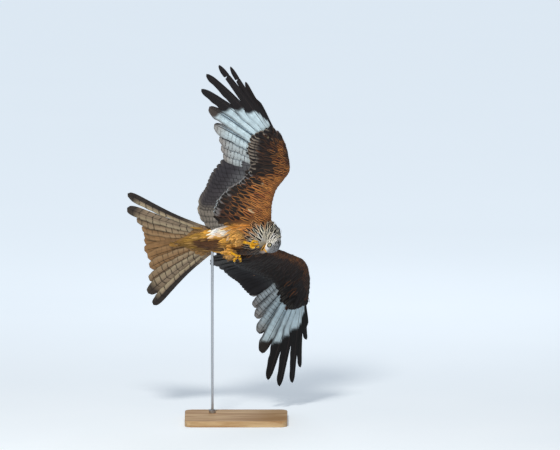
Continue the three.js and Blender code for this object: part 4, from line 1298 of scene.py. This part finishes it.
def region_looks(r):
    """Tone and streak width of the plumage at each place."""
    p, s, c = r.points, r.s, r.c
    x = p[:, 0]
    down = -r.normals[:, 2]
    below = step(down, -0.3, 0.2)
    mottled = noise_at(p, 26, 3)

    # torso: orange breast, gold belly, olive vent, brown back; painted sunlight in white on the
    # right flank, and painted shadow between the legs and under the head
    # painted sunlight: a white patch where the right flank catches the light; it has no streaks
    patch = np.maximum(near_place(p, (-122, -50, 0), 12, 32),
                       near_place(p, (-96, -48, -18), 6, 24))
    front = layers("gold", ("olive", step(-x, 130, 195)), ("breast", step(x, -95, -45)),
                   ("orange", 0.7 * step(x, -20, 30)), ("buff", 0.5 * step(mottled, 0.1, 0.9)),
                   ("white", patch),
                   # painted shadow: dark between the legs, and black under the head by the left
                   # foot
                   ("deep", 0.95 * near_place(p, (-156, 6, -14), 26, 46, 1.9)),
                   ("black", 0.95 * near_place(p, (-46, 40, -34), 20, 46)))
    rear = layers("back", ("rufous", step(-x, 120, 190)))
    tail_end = step(-x, 205, 245)
    torso = layers(blend(rear, front, below), ("undertail", tail_end))
    torso_streak = 0.24 * step(x, -100, -50) * below * (1 - patch) + 0.45 * (1 - below)
    torso_streak = torso_streak + 0.12 * below * step(x, -150, -100) * (1 - step(x, -100, -50))
    torso_streak = torso_streak * (1 - tail_end)

    # mantle: white and buff with black streaks, orange at its rim, darker on the left side as
    # painted shade
    nape = step(r.head[:, 1], 2, 16)
    neck = layers("white", ("cream", 0.5 + 0.3 * mottled),
                  ("breast", 0.9 * step(r.from_head, 52, 84)),
                  # painted shade on the left side of the neck
                  ("deep", 0.85 * step(p[:, 1], 0, 22)), ("ash", 0.75 * nape))
    neck_streak = 0.8 + 0.15 * step(-r.head[:, 0], 8, 40) - 0.2 * nape

    # head: ash crown with fine streaks, white cheek and throat
    along, up, _ = r.head.T
    lore = np.exp(-((along - 15) / 6) ** 2 - ((up - 1) / 5) ** 2)
    head = layers("white", ("head", step(up, 0, 6)), ("ash", 0.85 * step(up, 4, 13)),
                  ("cream", 0.3 * step(-along, 22, 36)), ("grey", 0.3 * lore))
    head_streak = 0.42 * step(up, 5, 13) + 0.55 * step(-along, 8, 26)
    head_streak = np.clip(head_streak + 0.1 * step(up, -2, 6), 0, 0.6)

    thigh = layers("gold", ("buff", 0.5 + 0.5 * mottled),
                   # painted shadow under the head, as on the torso beside it
                   ("black", 0.95 * near_place(p, (-46, 40, -34), 18, 42)))

    # wings: rufous lining with dark streaks, a dark patch on the hand with white flecks, and
    # painted shade on the left lining
    middle = step(c, 0.3, 0.46) * (1 - step(s, 0.62, 0.75))
    # painted shade: the left wing's lining is darkened, near black except along its leading edge
    in_shade = (r.wing == 1) * r.wings
    hand = np.max([step(s, 0.52, 0.64) * step(c, 0.12, 0.32), step(s, 0.84, 0.94),
                   0.9 * step(s, 0.66, 0.74) * (1 - step(c, 0.03, 0.09))], axis=0)
    fleck = np.max([1 - step(np.linalg.norm(p[:, :2] - place, axis=1), 3, 7)
                    for place in PALE_FLECKS], axis=0)
    lining = layers("lining", ("lining_edge", 0.4 + 0.5 * mottled), ("deep", 0.35 * middle),
                    ("black", 0.85 * step(c, 0.62, 0.76)), ("deep", 0.75 * in_shade),
                    ("black", 0.9 * in_shade * step(c, 0.02, 0.16)), ("black", 0.94 * hand),
                    ("lining", 0.3 * hand * step(mottled, 0.3, 0.8)), ("cream", 0.8 * fleck))
    band = np.exp(-((c - 0.72) / 0.16) ** 2) * (1 - step(s, 0.5, 0.66))
    above = layers("back", ("back_edge", 0.75 * band), ("dark", 0.8 * step(s, 0.6, 0.75)))
    wing = blend(above, lining, step(down, -0.1, 0.1))
    wing_streak = 0.3 + 0.08 * step(c, 0.06, 0.2) + 0.45 * middle
    wing_streak = wing_streak + 0.3 * step(s, 0.5, 0.62) * (1 - middle)
    wing_streak = wing_streak * (1 - 0.3 * hand) * (1 - fleck)

    tone = r.blend(torso=torso, neck=neck, head=head, thigh=thigh, wing=wing)
    width = r.blend(torso=torso_streak, neck=neck_streak, head=head_streak, thigh=0.1,
                    wing=wing_streak)
    return blend(tone, neck, r.mantle), width + (neck_streak - width) * r.mantle


def region_sizes(r):
    """Spacing across, spacing share along, length and width of the feathers at each place."""
    x = r.points[:, 0]
    along = r.head[:, 0]
    below = step(-r.normals[:, 2], -0.2, 0.3)
    belly = below * step(-x, 75, 115)
    torso = 10.5 - 3.3 * below - 1.4 * belly
    head = 3.7 - 1.9 * step(along, -8, 16)
    wing = (4.6 + 6.4 * step(r.c, 0.0, 0.5)) * (1 - 0.25 * step(r.s, 0.6, 0.9))
    spacing = r.blend(torso=torso, neck=6.8, head=head, thigh=5.4, wing=wing)
    spacing = spacing + (6.8 - spacing) * r.mantle
    share = r.blend(torso=0.5, neck=0.5, head=0.7, thigh=0.45,
                    wing=0.6 - 0.24 * step(r.c, 0.08, 0.25))
    torso_length = 43 + 9 * below * step(-x, 130, 200)
    length = r.blend(torso=torso_length, neck=34.0, head=3.1 * head, thigh=30.0,
                     wing=16 + 26 * step(r.c, 0.0, 0.3) - 10 * step(r.c, 0.45, 0.7))
    length = length + (34 - length) * r.mantle
    length = length * (1 - 0.4 * step(r.s, 0.8, 0.93) * r.wings)
    width = spacing * r.blend(torso=1.3, neck=1.35, head=1.45, thigh=1.5, wing=1.42)
    return spacing, share, length, width


def spread_points(verts, tris, spacing, share, flow, seed):
    """Places spread over the skin, closer along the flow of the feathers than across it."""
    rng = np.random.default_rng(seed)
    p = verts[tris]
    area = np.linalg.norm(np.cross(p[:, 1] - p[:, 0], p[:, 2] - p[:, 0]), axis=1) / 2
    gap, flat = spacing[tris].mean(axis=1), 1 / share[tris].mean(axis=1)
    weight = area / (gap**2 * flat)
    count = int(weight.sum() * 5)
    pick = rng.choice(len(tris), count, p=weight / weight.sum())
    a, b = rng.random((2, count))
    flip = a + b > 1
    a[flip], b[flip] = 1 - a[flip], 1 - b[flip]
    q = p[pick]
    places = q[:, 0] + a[:, None] * (q[:, 1] - q[:, 0]) + b[:, None] * (q[:, 2] - q[:, 0])
    tree = KDTree(count)
    for k, place in enumerate(places.tolist()):
        tree.insert(place, k)
    tree.balance()
    limits = (0.88 * gap[pick]).tolist()
    longer = flat[pick].tolist()
    ways = unit(flow[tris[pick]].mean(axis=1)).tolist()
    taken = bytearray(count)
    kept = []
    for k, (x, y, z) in enumerate(places.tolist()):
        if taken[k]:
            continue
        kept.append(k)
        (fx, fy, fz), limit, reach = ways[k], limits[k], limits[k] * longer[k]
        spare = 1 - 1 / longer[k] ** 2
        for co, other, gap_to in tree.find_range((x, y, z), reach):
            ahead = (co[0] - x) * fx + (co[1] - y) * fy + (co[2] - z) * fz
            if gap_to * gap_to - spare * ahead * ahead < limit * limit:
                taken[other] = 1
    return places[kept], pick[kept]


TUFT_ALONG = np.array([0.0, 0.2, 0.42, 0.62, 0.8, 0.92, 1.0])
TUFT_WIDTH = np.array([0.4, 0.8, 1.0, 0.98, 0.78, 0.5, 0.12])
TUFT_ACROSS = np.array([1.0, 0.5, 0.0, -0.5, -1.0])


def lay_down(tree, face_normals, roots, along, normals, length, radius):
    """Middle lines of feathers laid over the skin, and which way is up along them."""
    middles, ups = [], []
    for t in TUFT_ALONG:
        straight = roots + along * (length * t)[:, None]
        found = [tree.find_nearest(place) for place in straight.tolist()]
        place = np.array([hit[0][:] for hit in found])
        up = face_normals[[hit[2] for hit in found]]
        most = (length * t) ** 2 / (2 * radius)
        sink = np.clip(((place - straight) * normals).sum(1), -most, most)
        middles.append(straight + sink[:, None] * normals)
        facing = step((up * normals).sum(1), 0.0, 0.5)[:, None]
        ups.append(unit(normals + 1.2 * facing * up))
    return np.stack(middles, axis=1), np.stack(ups, axis=1)


def tuft_mesh(mesh, middles, ups, width, lift, bend, tone_root, tone_tip, mark, streak, bake):
    """Small closed feathers, all at once: a shallow crown over a flat underside."""
    count, rings = middles.shape[:2]
    columns = len(TUFT_ACROSS)
    t = TUFT_ALONG[None, :]
    side = unit(np.cross(np.gradient(middles, axis=1), ups))
    rise = -0.6 + lift[:, None] * (0.3 * t + 0.7 * t**1.6)
    middles = middles + ups * rise[..., None] + side * (bend[:, None] * t**2)[..., None]
    half = 0.5 * width[:, None] * TUFT_WIDTH[None]
    crown = (0.16 * half + 0.2)[..., None] * (1 - TUFT_ACROSS**2)
    places = (middles[:, :, None] + side[:, :, None] * (half[..., None] * TUFT_ACROSS)[..., None]
              + ups[:, :, None] * crown[..., None]).reshape(count, rings * columns, 3)
    quads = []
    for i in range(rings - 1):
        a = columns * i
        for j in range(columns):
            k = (j + 1) % columns
            quads.append((a + j, a + columns + j, a + columns + k, a + k))
    last = columns * (rings - 1)
    for j in range(1, columns - 1):
        quads += [(0, j, j + 1, j + 1), (last, last + j + 1, last + j, last + j)]
    quads = np.array(quads)
    all_quads = quads[None] + (np.arange(count) * rings * columns)[:, None, None]
    along = np.repeat(TUFT_ALONG, columns)
    across = np.tile(TUFT_ACROSS, rings)
    tone = tone_root[:, None] + (tone_tip - tone_root)[:, None] * along[None, :, None]
    vane = np.broadcast_to(np.stack([across, along], axis=1), (count, len(along), 2))
    form = np.zeros((count, len(along), 3))
    form[..., 0] = streak[:, None]
    patch = 0.0015 * np.stack([across, 2 * along - 1], axis=1)
    bake = bake[:, None] + patch[None]
    mesh.add(places, all_quads.reshape(-1, 4), tone=tone.reshape(-1, 3),
             mark=np.repeat(mark, len(along), axis=0), form=form.reshape(-1, 3),
             vane=vane.reshape(-1, 2), bake=bake.reshape(-1, 2))


# Each form's own field of the flat unwrap, as its low corner and its size
FIELDS = dict(
    torso=(0.01, 0.01, 0.46, 0.46), base=(0.51, 0.01, 0.1, 0.22), neck=(0.64, 0.01, 0.16, 0.22),
    head=(0.83, 0.01, 0.15, 0.22), thigh_right=(0.51, 0.26, 0.22, 0.21),
    thigh_left=(0.76, 0.26, 0.22, 0.21), wing_right=(0.01, 0.51, 0.46, 0.46),
    wing_left=(0.51, 0.51, 0.46, 0.46),
)


def unwrap(r, form):
    """A place on the unwrap for each place, in the fields of the given forms."""
    p = r.points
    turn = np.arctan2(p[:, 2] - 15, p[:, 1]) / (2 * np.pi) + 0.5
    body = np.stack([np.clip((p[:, 0] + 310) / 400, 0, 1), turn], axis=1)
    head_turn = np.arctan2(r.head[:, 1], r.head[:, 2]) / (2 * np.pi) + 0.5
    head = np.stack([np.clip((r.head[:, 0] + 50) / 100, 0, 1), head_turn], axis=1)
    wing = np.stack([r.s, 0.5 + np.where(r.under, 0.48, -0.48) * np.clip(r.c, 0, 1)], axis=1)
    flat = np.zeros((len(p), 2))
    for k, name in enumerate(Regions.ORDER):
        low_u, low_v, size_u, size_v = FIELDS[name]
        own = wing if name.startswith("wing") else head if name in ("head", "neck") else body
        flat = np.where((form == k)[:, None], (low_u, low_v) + own * (size_u, size_v), flat)
    return flat


def eye_gaps(head):
    """How far each place is from the nearer eye's line of sight."""
    gaps = []
    for side in (1, -1):
        depth, beside = off_sight(head, side)
        gaps.append(np.where(depth > -3, beside, 99))
    return np.minimum(*gaps)


def build_coat(verts, tris, meshes, rails, material):
    """The small feathers, in four pieces, and the looks of the skin under them."""
    normals = vertex_normals(verts, tris)
    face_normals = unit(normals[tris].mean(axis=1))
    ground = Regions(verts, normals, meshes, rails)
    spacing, share, _, _ = region_sizes(ground)
    places, faces = spread_points(verts, tris, spacing, share, ground.flow(), seed=7)
    r = Regions(places, face_normals[faces], meshes, rails)
    flow = r.flow()
    _, _, length, width = region_sizes(r)
    tone, streak = region_looks(r)
    rng = np.random.default_rng(5)
    count = len(places)

    # kept clear: the eyes, the bill, the flat base of the tail, and the greater coverts
    eye_gap = eye_gaps(r.head)
    keep = (eye_gap > EYE_CLEAR) & ~((r.head[:, 0] > 23) & (np.abs(r.head[:, 1]) < 14))
    keep &= ~((r.wings > 0.6) & (r.c > 0.88)) & (r.share["base"] < 0.6)

    # feathers turn a little from their neighbours
    side = np.cross(flow, r.normals)
    swing = rng.normal(0, 0.07, count) + 0.1 * noise_at(places, 34, 21)
    swing = swing * (1 - 0.5 * r.share["head"])
    flow = unit(flow + swing[:, None] * side)
    length = length * rng.uniform(0.85, 1.15, count) * (1 - 0.45 * (1 - step(eye_gap, 9, 16)))
    width = width * rng.uniform(0.88, 1.12, count)
    lift = np.clip(0.1 * length, 0.5, 3.2) * rng.uniform(0.75, 1.25, count)
    bend = 0.05 * length * rng.normal(0, 1, count)
    edge = step(-r.c, -0.16, -0.04) * r.wings
    radius = r.blend(torso=42.0, neck=28.0, head=16.0, thigh=22.0, wing=160.0)
    radius = radius * (1 - edge) + 26 * edge
    tree = BVHTree.FromPolygons(verts.tolist(), tris.tolist())
    shade = rng.uniform(0.72, 1.25, count)[:, None]
    shade = 1 + (shade - 1) * (1 - 0.6 * r.share["head"])[:, None]
    tone = np.clip(tone * shade, 0, 0.95)
    mark = np.broadcast_to(COLOUR["streak"], (count, 3))
    bake = unwrap(r, r.form)
    parts = dict(
        coat_wing_right=(r.wings > 0.5) & (r.wing == 0),
        coat_wing_left=(r.wings > 0.5) & (r.wing == 1),
        coat_head=(r.wings <= 0.5) & (r.share["head"] > 0.5),
        coat_body=(r.wings <= 0.5) & (r.share["head"] <= 0.5),
    )
    made = {}
    for name, part in parts.items():
        k = part & keep
        middles, ups = lay_down(tree, face_normals, places[k], flow[k], r.normals[k], length[k],
                                radius[k])
        mesh = Mesh()
        # each feather darker at its root and lighter at its tip: painted shade and light where the
        # feathers overlap
        tuft_mesh(mesh, middles, ups, width[k], lift[k], bend[k], tone[k] * 0.7,
                  np.clip(tone[k] * 1.15, 0, 1), mark[k], streak[k], bake[k])
        made[name] = mesh.make(name, material, TUFT_CREASE)
    ground_tone, _ = region_looks(ground)
    # painted shade: the skin between the feathers is darkened, less on the head
    bare = 0.4 + 0.45 * ground.share["head"]
    return made, ground_tone * bare[:, None], ground


def set_skin_map(skin, tris, ground):
    """The skin's unwrap, face by face, so that no face reaches from one field to another."""
    shares = np.stack([ground.share[name] for name in Regions.ORDER], axis=1)
    form = shares[tris].sum(axis=1).argmax(axis=1)
    corners = np.stack([corner_places(ground, tris[:, k], form) for k in range(3)], axis=1)
    for k, name in enumerate(Regions.ORDER):
        size = FIELDS[name][3]
        if not name.startswith("wing"):
            own = form == k
            v = corners[own, :, 1]
            wraps = np.ptp(v, axis=1) > size / 2
            corners[own, :, 1] = np.where(wraps[:, None], v.max(axis=1, keepdims=True), v)
    skin.data.uv_layers["OFBake"].data.foreach_set("uv", packed(corners))


def corner_places(ground, index, form):
    """The unwrap of chosen vertices in the fields of the given forms."""
    part = object.__new__(Regions)
    part.points, part.head = ground.points[index], ground.head[index]
    part.s, part.c, part.under = ground.s[index], ground.c[index], ground.under[index]
    return unwrap(part, form)


# Head pieces

def eye(side, material):
    """An eyeball as rings about the way it looks, from the pupil outward."""
    centre, look = eye_frame(side)
    across = unit(np.cross([0, 1, 0], look))
    up = np.cross(look, across)
    count, sides = 40, 48
    angles = np.linspace(0.001, np.pi - 0.001, count)
    turn = circle(sides)[:, None]
    radii = EYE_RADIUS + 0.5 * np.exp(-(angles / 0.55) ** 2)
    rings = [centre + radius * (np.cos(a) * look + np.sin(a) * (np.cos(turn) * across
                                                                + np.sin(turn) * up))
             for a, radius in zip(angles, radii)]
    places, quads = capped(rings)
    share = np.sin(np.minimum(angles, np.pi / 2)) * EYE_RADIUS / 6.2
    share = np.append(np.repeat(share, sides), [0, 1])
    spin = np.append(np.tile(np.abs(turn[:, 0] / np.pi - 1), count), [0, 0])
    form = np.stack([share, spin, 0 * share], axis=1)
    return single(f"eye_{SIDE_NAMES[side]}_ball", material, from_head(places), quads, form=form)


def lids(side, material):
    """Upper and lower lid: a rolled rim that meets at two corners and leans over the eye."""
    centre, look = eye_frame(side)
    across = unit(np.cross([0, 1, 0], look)) * side
    up = np.cross(look, across) * side
    up = up if up[1] > 0 else -up
    turn, roll = circle(72), circle(14)
    corner = 0.9 * np.abs(np.cos(turn)) ** 7
    squash = np.where(np.sin(turn) > 0, 0.9, 0.95)
    rings = []
    for r in roll:
        reach = 7.3 + corner + 2.3 * np.cos(r)
        height = 3.2 + 1.5 * np.sin(r) - 0.9 * corner
        rings.append(centre + look * height[:, None] + across * (reach * np.cos(turn))[:, None]
                     + up * (reach * squash * np.sin(turn))[:, None])
    places = np.concatenate(rings)
    quads = grid_quads(len(roll) + 1, len(turn)) % len(places)
    inner = np.cos(np.repeat(roll, len(turn)))
    tone = blend(srgb("#191513"), srgb("#0b0909"), step(-inner, -0.2, 0.7))
    return single(f"eyelids_{SIDE_NAMES[side]}", material, from_head(places),
                  outward(places, quads), tone=tone)


def bill_piece(name, stations, low, high, material, shape=None):
    """A length of the bill between two places along the head, or from one to the tip."""
    count, sides = 44, 40
    line = through(stations, 200)
    chosen = line[(line[:, 0] >= low) & ((line[:, 0] <= high) if high else True)]
    index = np.linspace(0, len(chosen) - 1, count).astype(int)
    rings = np.array([head_ring(s, circle(sides)) for s in chosen[index]])
    places, quads = capped(shape(rings) if shape else rings)
    return single(name, material, from_head(places), quads, HORN_CREASE,
                  form=along_form(count, sides))


def nostril_pits(rings):
    """Presses an oval nostril into each side of the cere."""
    for side in (1, -1):
        centre = NOSTRIL_PLACE * np.array([1, 1, side])
        off = (rings - centre) / np.array([2.6, 1.3, 3.0])
        pit = np.exp(-(off**2).sum(-1) * 1.6)
        rings[..., 2] -= side * 2.2 * pit
    return rings


def skin_side(along, height, grow=0.0):
    """Half width of the head at places along and heights."""
    table = through(HEAD_STATIONS, 60)
    middle, down, side = (np.interp(along, table[:, 0], table[:, k]) for k in (1, 3, 4))
    sine = np.clip((height - middle) / down, -0.98, 0.98)
    return (side + grow) * np.sqrt(1 - sine**2)


def gape(side, name, lift, radius, out, material, tone):
    """A strip along the mouth line, from the bill back to the corner under the eye."""
    t = np.linspace(0, 1, 24)
    along, height = (MOUTH_FRONT + t[:, None] * (MOUTH_CORNER - MOUTH_FRONT)).T
    height = height + lift * (1 - 0.7 * t**3)
    bill = np.interp(along, [12, 21, 29.5, 35.5], [8.2, 7.3, 6.0, 4.6])
    cheek = skin_side(np.minimum(along, 24.9), height, -0.8) * step(-along, -26.5, -23.5)
    wide = np.maximum(bill, cheek)
    stations = np.stack([along, height, side * (wide + out), radius * (1.05 - 0.4 * t)], axis=1)
    places, quads = capped(tube_rings(stations, sides=12, count=40))
    return single(f"{name}_{SIDE_NAMES[side]}", material, from_head(places), quads, tone=srgb(tone))


# Legs

def scaled_rings(rings, joints, depth=0.05):
    """Scutes: rings of a toe or shank swell and narrow along it."""
    return swollen(rings, 1 + depth * np.abs(np.sin(np.arange(len(rings)) * joints)))


def swollen(rings, by):
    centre = rings.mean(axis=1, keepdims=True)
    return centre + (rings - centre) * by[:, None, None]


def with_radii(places, radii):
    return [(*place, radius) for place, radius in zip(places, radii)]


def leg_piece(leg, skin):
    """The bare shank, and four toes from its foot."""
    mesh = Mesh()
    knee, ankle, foot = (np.array(leg[part], float) for part in ("knee", "ankle", "foot"))
    line = (knee + 0.72 * (ankle - knee), ankle, (ankle + foot) / 2, foot)
    shank = tube_rings(with_radii(line, SHANK_RADII), sides=20, count=60)
    mesh.add(*capped(scaled_rings(shank, 1.3)))
    count = 56
    t = np.arange(count) / (count - 1)
    pads = 1 + 0.16 * np.exp(-((t - 0.45) / 0.09) ** 2) + 0.14 * np.exp(-((t - 0.9) / 0.08) ** 2)
    for joints in leg["toes"]:
        toe = tube_rings(with_radii([foot, *joints], TOE_RADII), sides=18, count=count)
        mesh.add(*capped(scaled_rings(swollen(toe, pads), 1.1, 0.06)))
    return mesh.make(f"leg_skin_{leg['name']}", skin)


def claw_piece(name, joints, horn):
    """A claw that goes on from a toe's end and curls down."""
    before, start = np.array(joints[1:], float)
    ahead = unit(start - before)
    curl = np.array([-0.4, 0, 0.9])
    curl = unit(curl - ahead * (curl @ ahead))
    t = np.linspace(0, 1, 24)[:, None]
    bend, radius = CLAW_BEND * t, CLAW_LENGTH / CLAW_BEND
    line = start + ahead * (radius * np.sin(bend)) + curl * (radius * (1 - np.cos(bend)))
    stations = np.concatenate([line, CLAW_RADIUS * (1 - 0.94 * t)], axis=1)
    count, sides = 30, 14
    places, quads = capped(tube_rings(stations, sides, count))
    return single(name, horn, places, quads, form=along_form(count, sides))


def dress_legs():
    skin = scaly_material("leg_skin", "#ffc71c", "#d08c10", 700.0, 0.42)
    horn = horn_material("claw_horn", "#3a3230", "#0d0b0b", 0.25)
    for leg in (RIGHT_LEG, LEFT_LEG):
        name = leg["name"]
        finish_piece(leg_piece(leg, skin), "leg_skin", f"shank_{name}", f"foot_{name}")
        for i, joints in enumerate(leg["toes"], 1):
            claw = claw_piece(f"claw_{name}_{i}_horn", joints, horn)
            finish_piece(claw, "claw_horn", f"claw_{name}_{i}")


# Scene

# The camera's distance, and how far right and above the bird's place it looks, in metres
CAMERA_DISTANCE, CAMERA_SHIFT = 60.0, (0.0792, 0.0468)
# Width of the picture in pixels, and of a pixel in millimetres
PIXELS_ACROSS, PIXEL = 560, 3.6
# Where the lamps are aimed, and half the floor's width, in metres
LIT_PLACE, FLOOR_HALF = (0.08, 0, 0.7), 26


def aim(thing, place, way):
    """Sets a camera or a lamp at a place, looking along a way."""
    thing.location = place
    thing.rotation_mode = "QUATERNION"
    thing.rotation_quaternion = Vector(way).to_track_quat("-Z", "Y")


def add_camera():
    """Long lens, 8 degrees above level, framed as the photo is: 3.6 mm to a pixel."""
    drop = math.radians(VIEW_DROP)
    up = np.array([0, math.sin(drop), math.cos(drop)])
    ahead = np.array([0, math.cos(drop), -math.sin(drop)])
    across, rise = CAMERA_SHIFT
    target = BIRD_PLACE * MM + np.array([1, 0, 0]) * across + up * rise
    data = bpy.data.cameras.new("camera")
    data.sensor_width = 36.0
    data.lens = data.sensor_width * CAMERA_DISTANCE / (PIXELS_ACROSS * PIXEL * MM)
    data.clip_end = 200
    camera = add_object("camera", data)
    aim(camera, target - ahead * CAMERA_DISTANCE, ahead)
    bpy.context.scene.camera = camera


def add_light(name, place, size, power, colour):
    data = bpy.data.lights.new(name, "AREA")
    data.shape = "DISK"
    data.size, data.energy, data.color = size, power, colour
    aim(add_object(name, data), place, Vector(LIT_PLACE) - Vector(place))


def add_surroundings():
    world = bpy.data.worlds.new("studio")
    world.use_nodes = True
    sky = world.node_tree.nodes["Background"].inputs
    sky["Color"].default_value, sky["Strength"].default_value = (0.80, 0.88, 1.0, 1), 0.2
    bpy.context.scene.world = world
    bpy.context.scene.view_settings.view_transform = "Standard"
    add_light("key", (-0.6, -2.8, 3.5), 0.7, 140, (1.0, 0.95, 0.87))
    add_light("fill", (2.4, -3.4, 1.2), 2.4, 7, (0.84, 0.91, 1.0))
    add_light("back", (0.5, 3.0, 2.8), 2.0, 30, (0.92, 0.96, 1.0))
    mesh = bpy.data.meshes.new("floor")
    corners = [(x * FLOOR_HALF, y * FLOOR_HALF, 0) for x, y in ((-1, -1), (1, -1), (1, 1), (-1, 1))]
    mesh.from_pydata(corners, [], [(0, 1, 2, 3)])
    mesh.materials.append(floor_material())
    floor = add_object("floor", mesh)


def dress_stand():
    for name, material in (("stand_base", wood_material()), ("stand_rod", steel_material())):
        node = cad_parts[name]
        node.data.materials.clear()
        node.data.materials.append(material)


def dress_head(ground):
    ball, horn = eye_material(), horn_material("bill_horn", "#8d8079", "#2a2422")
    yellow = scaly_material("gape_skin", "#f7c433", "#ee9f1a")
    for side, name in SIDE_NAMES.items():
        finish_piece(eye(side, ball), "eye", f"eye_{name}")
        finish_piece(lids(side, ground), "head_feathers")
        finish_piece(gape(side, "mouth_line", 0.0, 2.2, 1.0, ground, "#060303"), "bill_base")
        for part, lift in (("gape_upper", 3.7), ("gape_lower", -3.7)):
            finish_piece(gape(side, part, lift, 1.5, -0.2, yellow, "#f2b41c"), "bill_base")
    tip = bill_piece("bill_upper_horn", BILL_UPPER_STATIONS, CERE_END, None, horn)
    finish_piece(tip, "bill_horn", "bill_upper")
    cere = bill_piece("cere_skin", BILL_UPPER_STATIONS, BILL_START, CERE_END + 0.4,
                      scaly_material("cere_skin", "#f2b41c", "#e59a12"), shape=nostril_pits)
    finish_piece(cere, "cere_skin", "cere")
    lower = bill_piece("bill_lower_horn", BILL_LOWER_STATIONS, BILL_START, None,
                       horn_material("bill_lower_horn", "#f0b52a", "#9a7a3c"))
    finish_piece(lower, "bill_base", "bill_lower")


def main():
    rails = dict(right=wing_rails(RIGHT_WING), left=wing_rails(LEFT_WING))
    plumage, ground = plumage_material(), skin_material()
    verts, tris, meshes = build_skin(rails["right"], rails["left"])
    coat, ground_tone, regions = build_coat(verts, tris, meshes, rails, plumage)
    skin = single("skin", ground, verts, np.concatenate([tris, tris[:, 2:]], axis=1),
                  tone=ground_tone)
    set_skin_map(skin, tris, regions)
    finish_piece(skin, "body_feathers", "torso", "neck", "head", "thigh_right", "thigh_left",
                 "wing_right", "wing_left", "tail")
    for name, piece in coat.items():
        finish_piece(piece, f"{name.split('_')[1]}_feathers")
    for wing in rails.values():
        finish_piece(flight_feathers(wing, plumage), "wing_feathers")
        for under in (True, False):
            finish_piece(covert_rows(wing, plumage, under), "wing_feathers")
    finish_piece(tail_feathers(plumage), "tail_feathers")
    for under in (True, False):
        finish_piece(tail_coverts(plumage, under), "tail_feathers")
    dress_head(ground)
    dress_legs()
    dress_stand()
    add_surroundings()
    add_camera()


main()
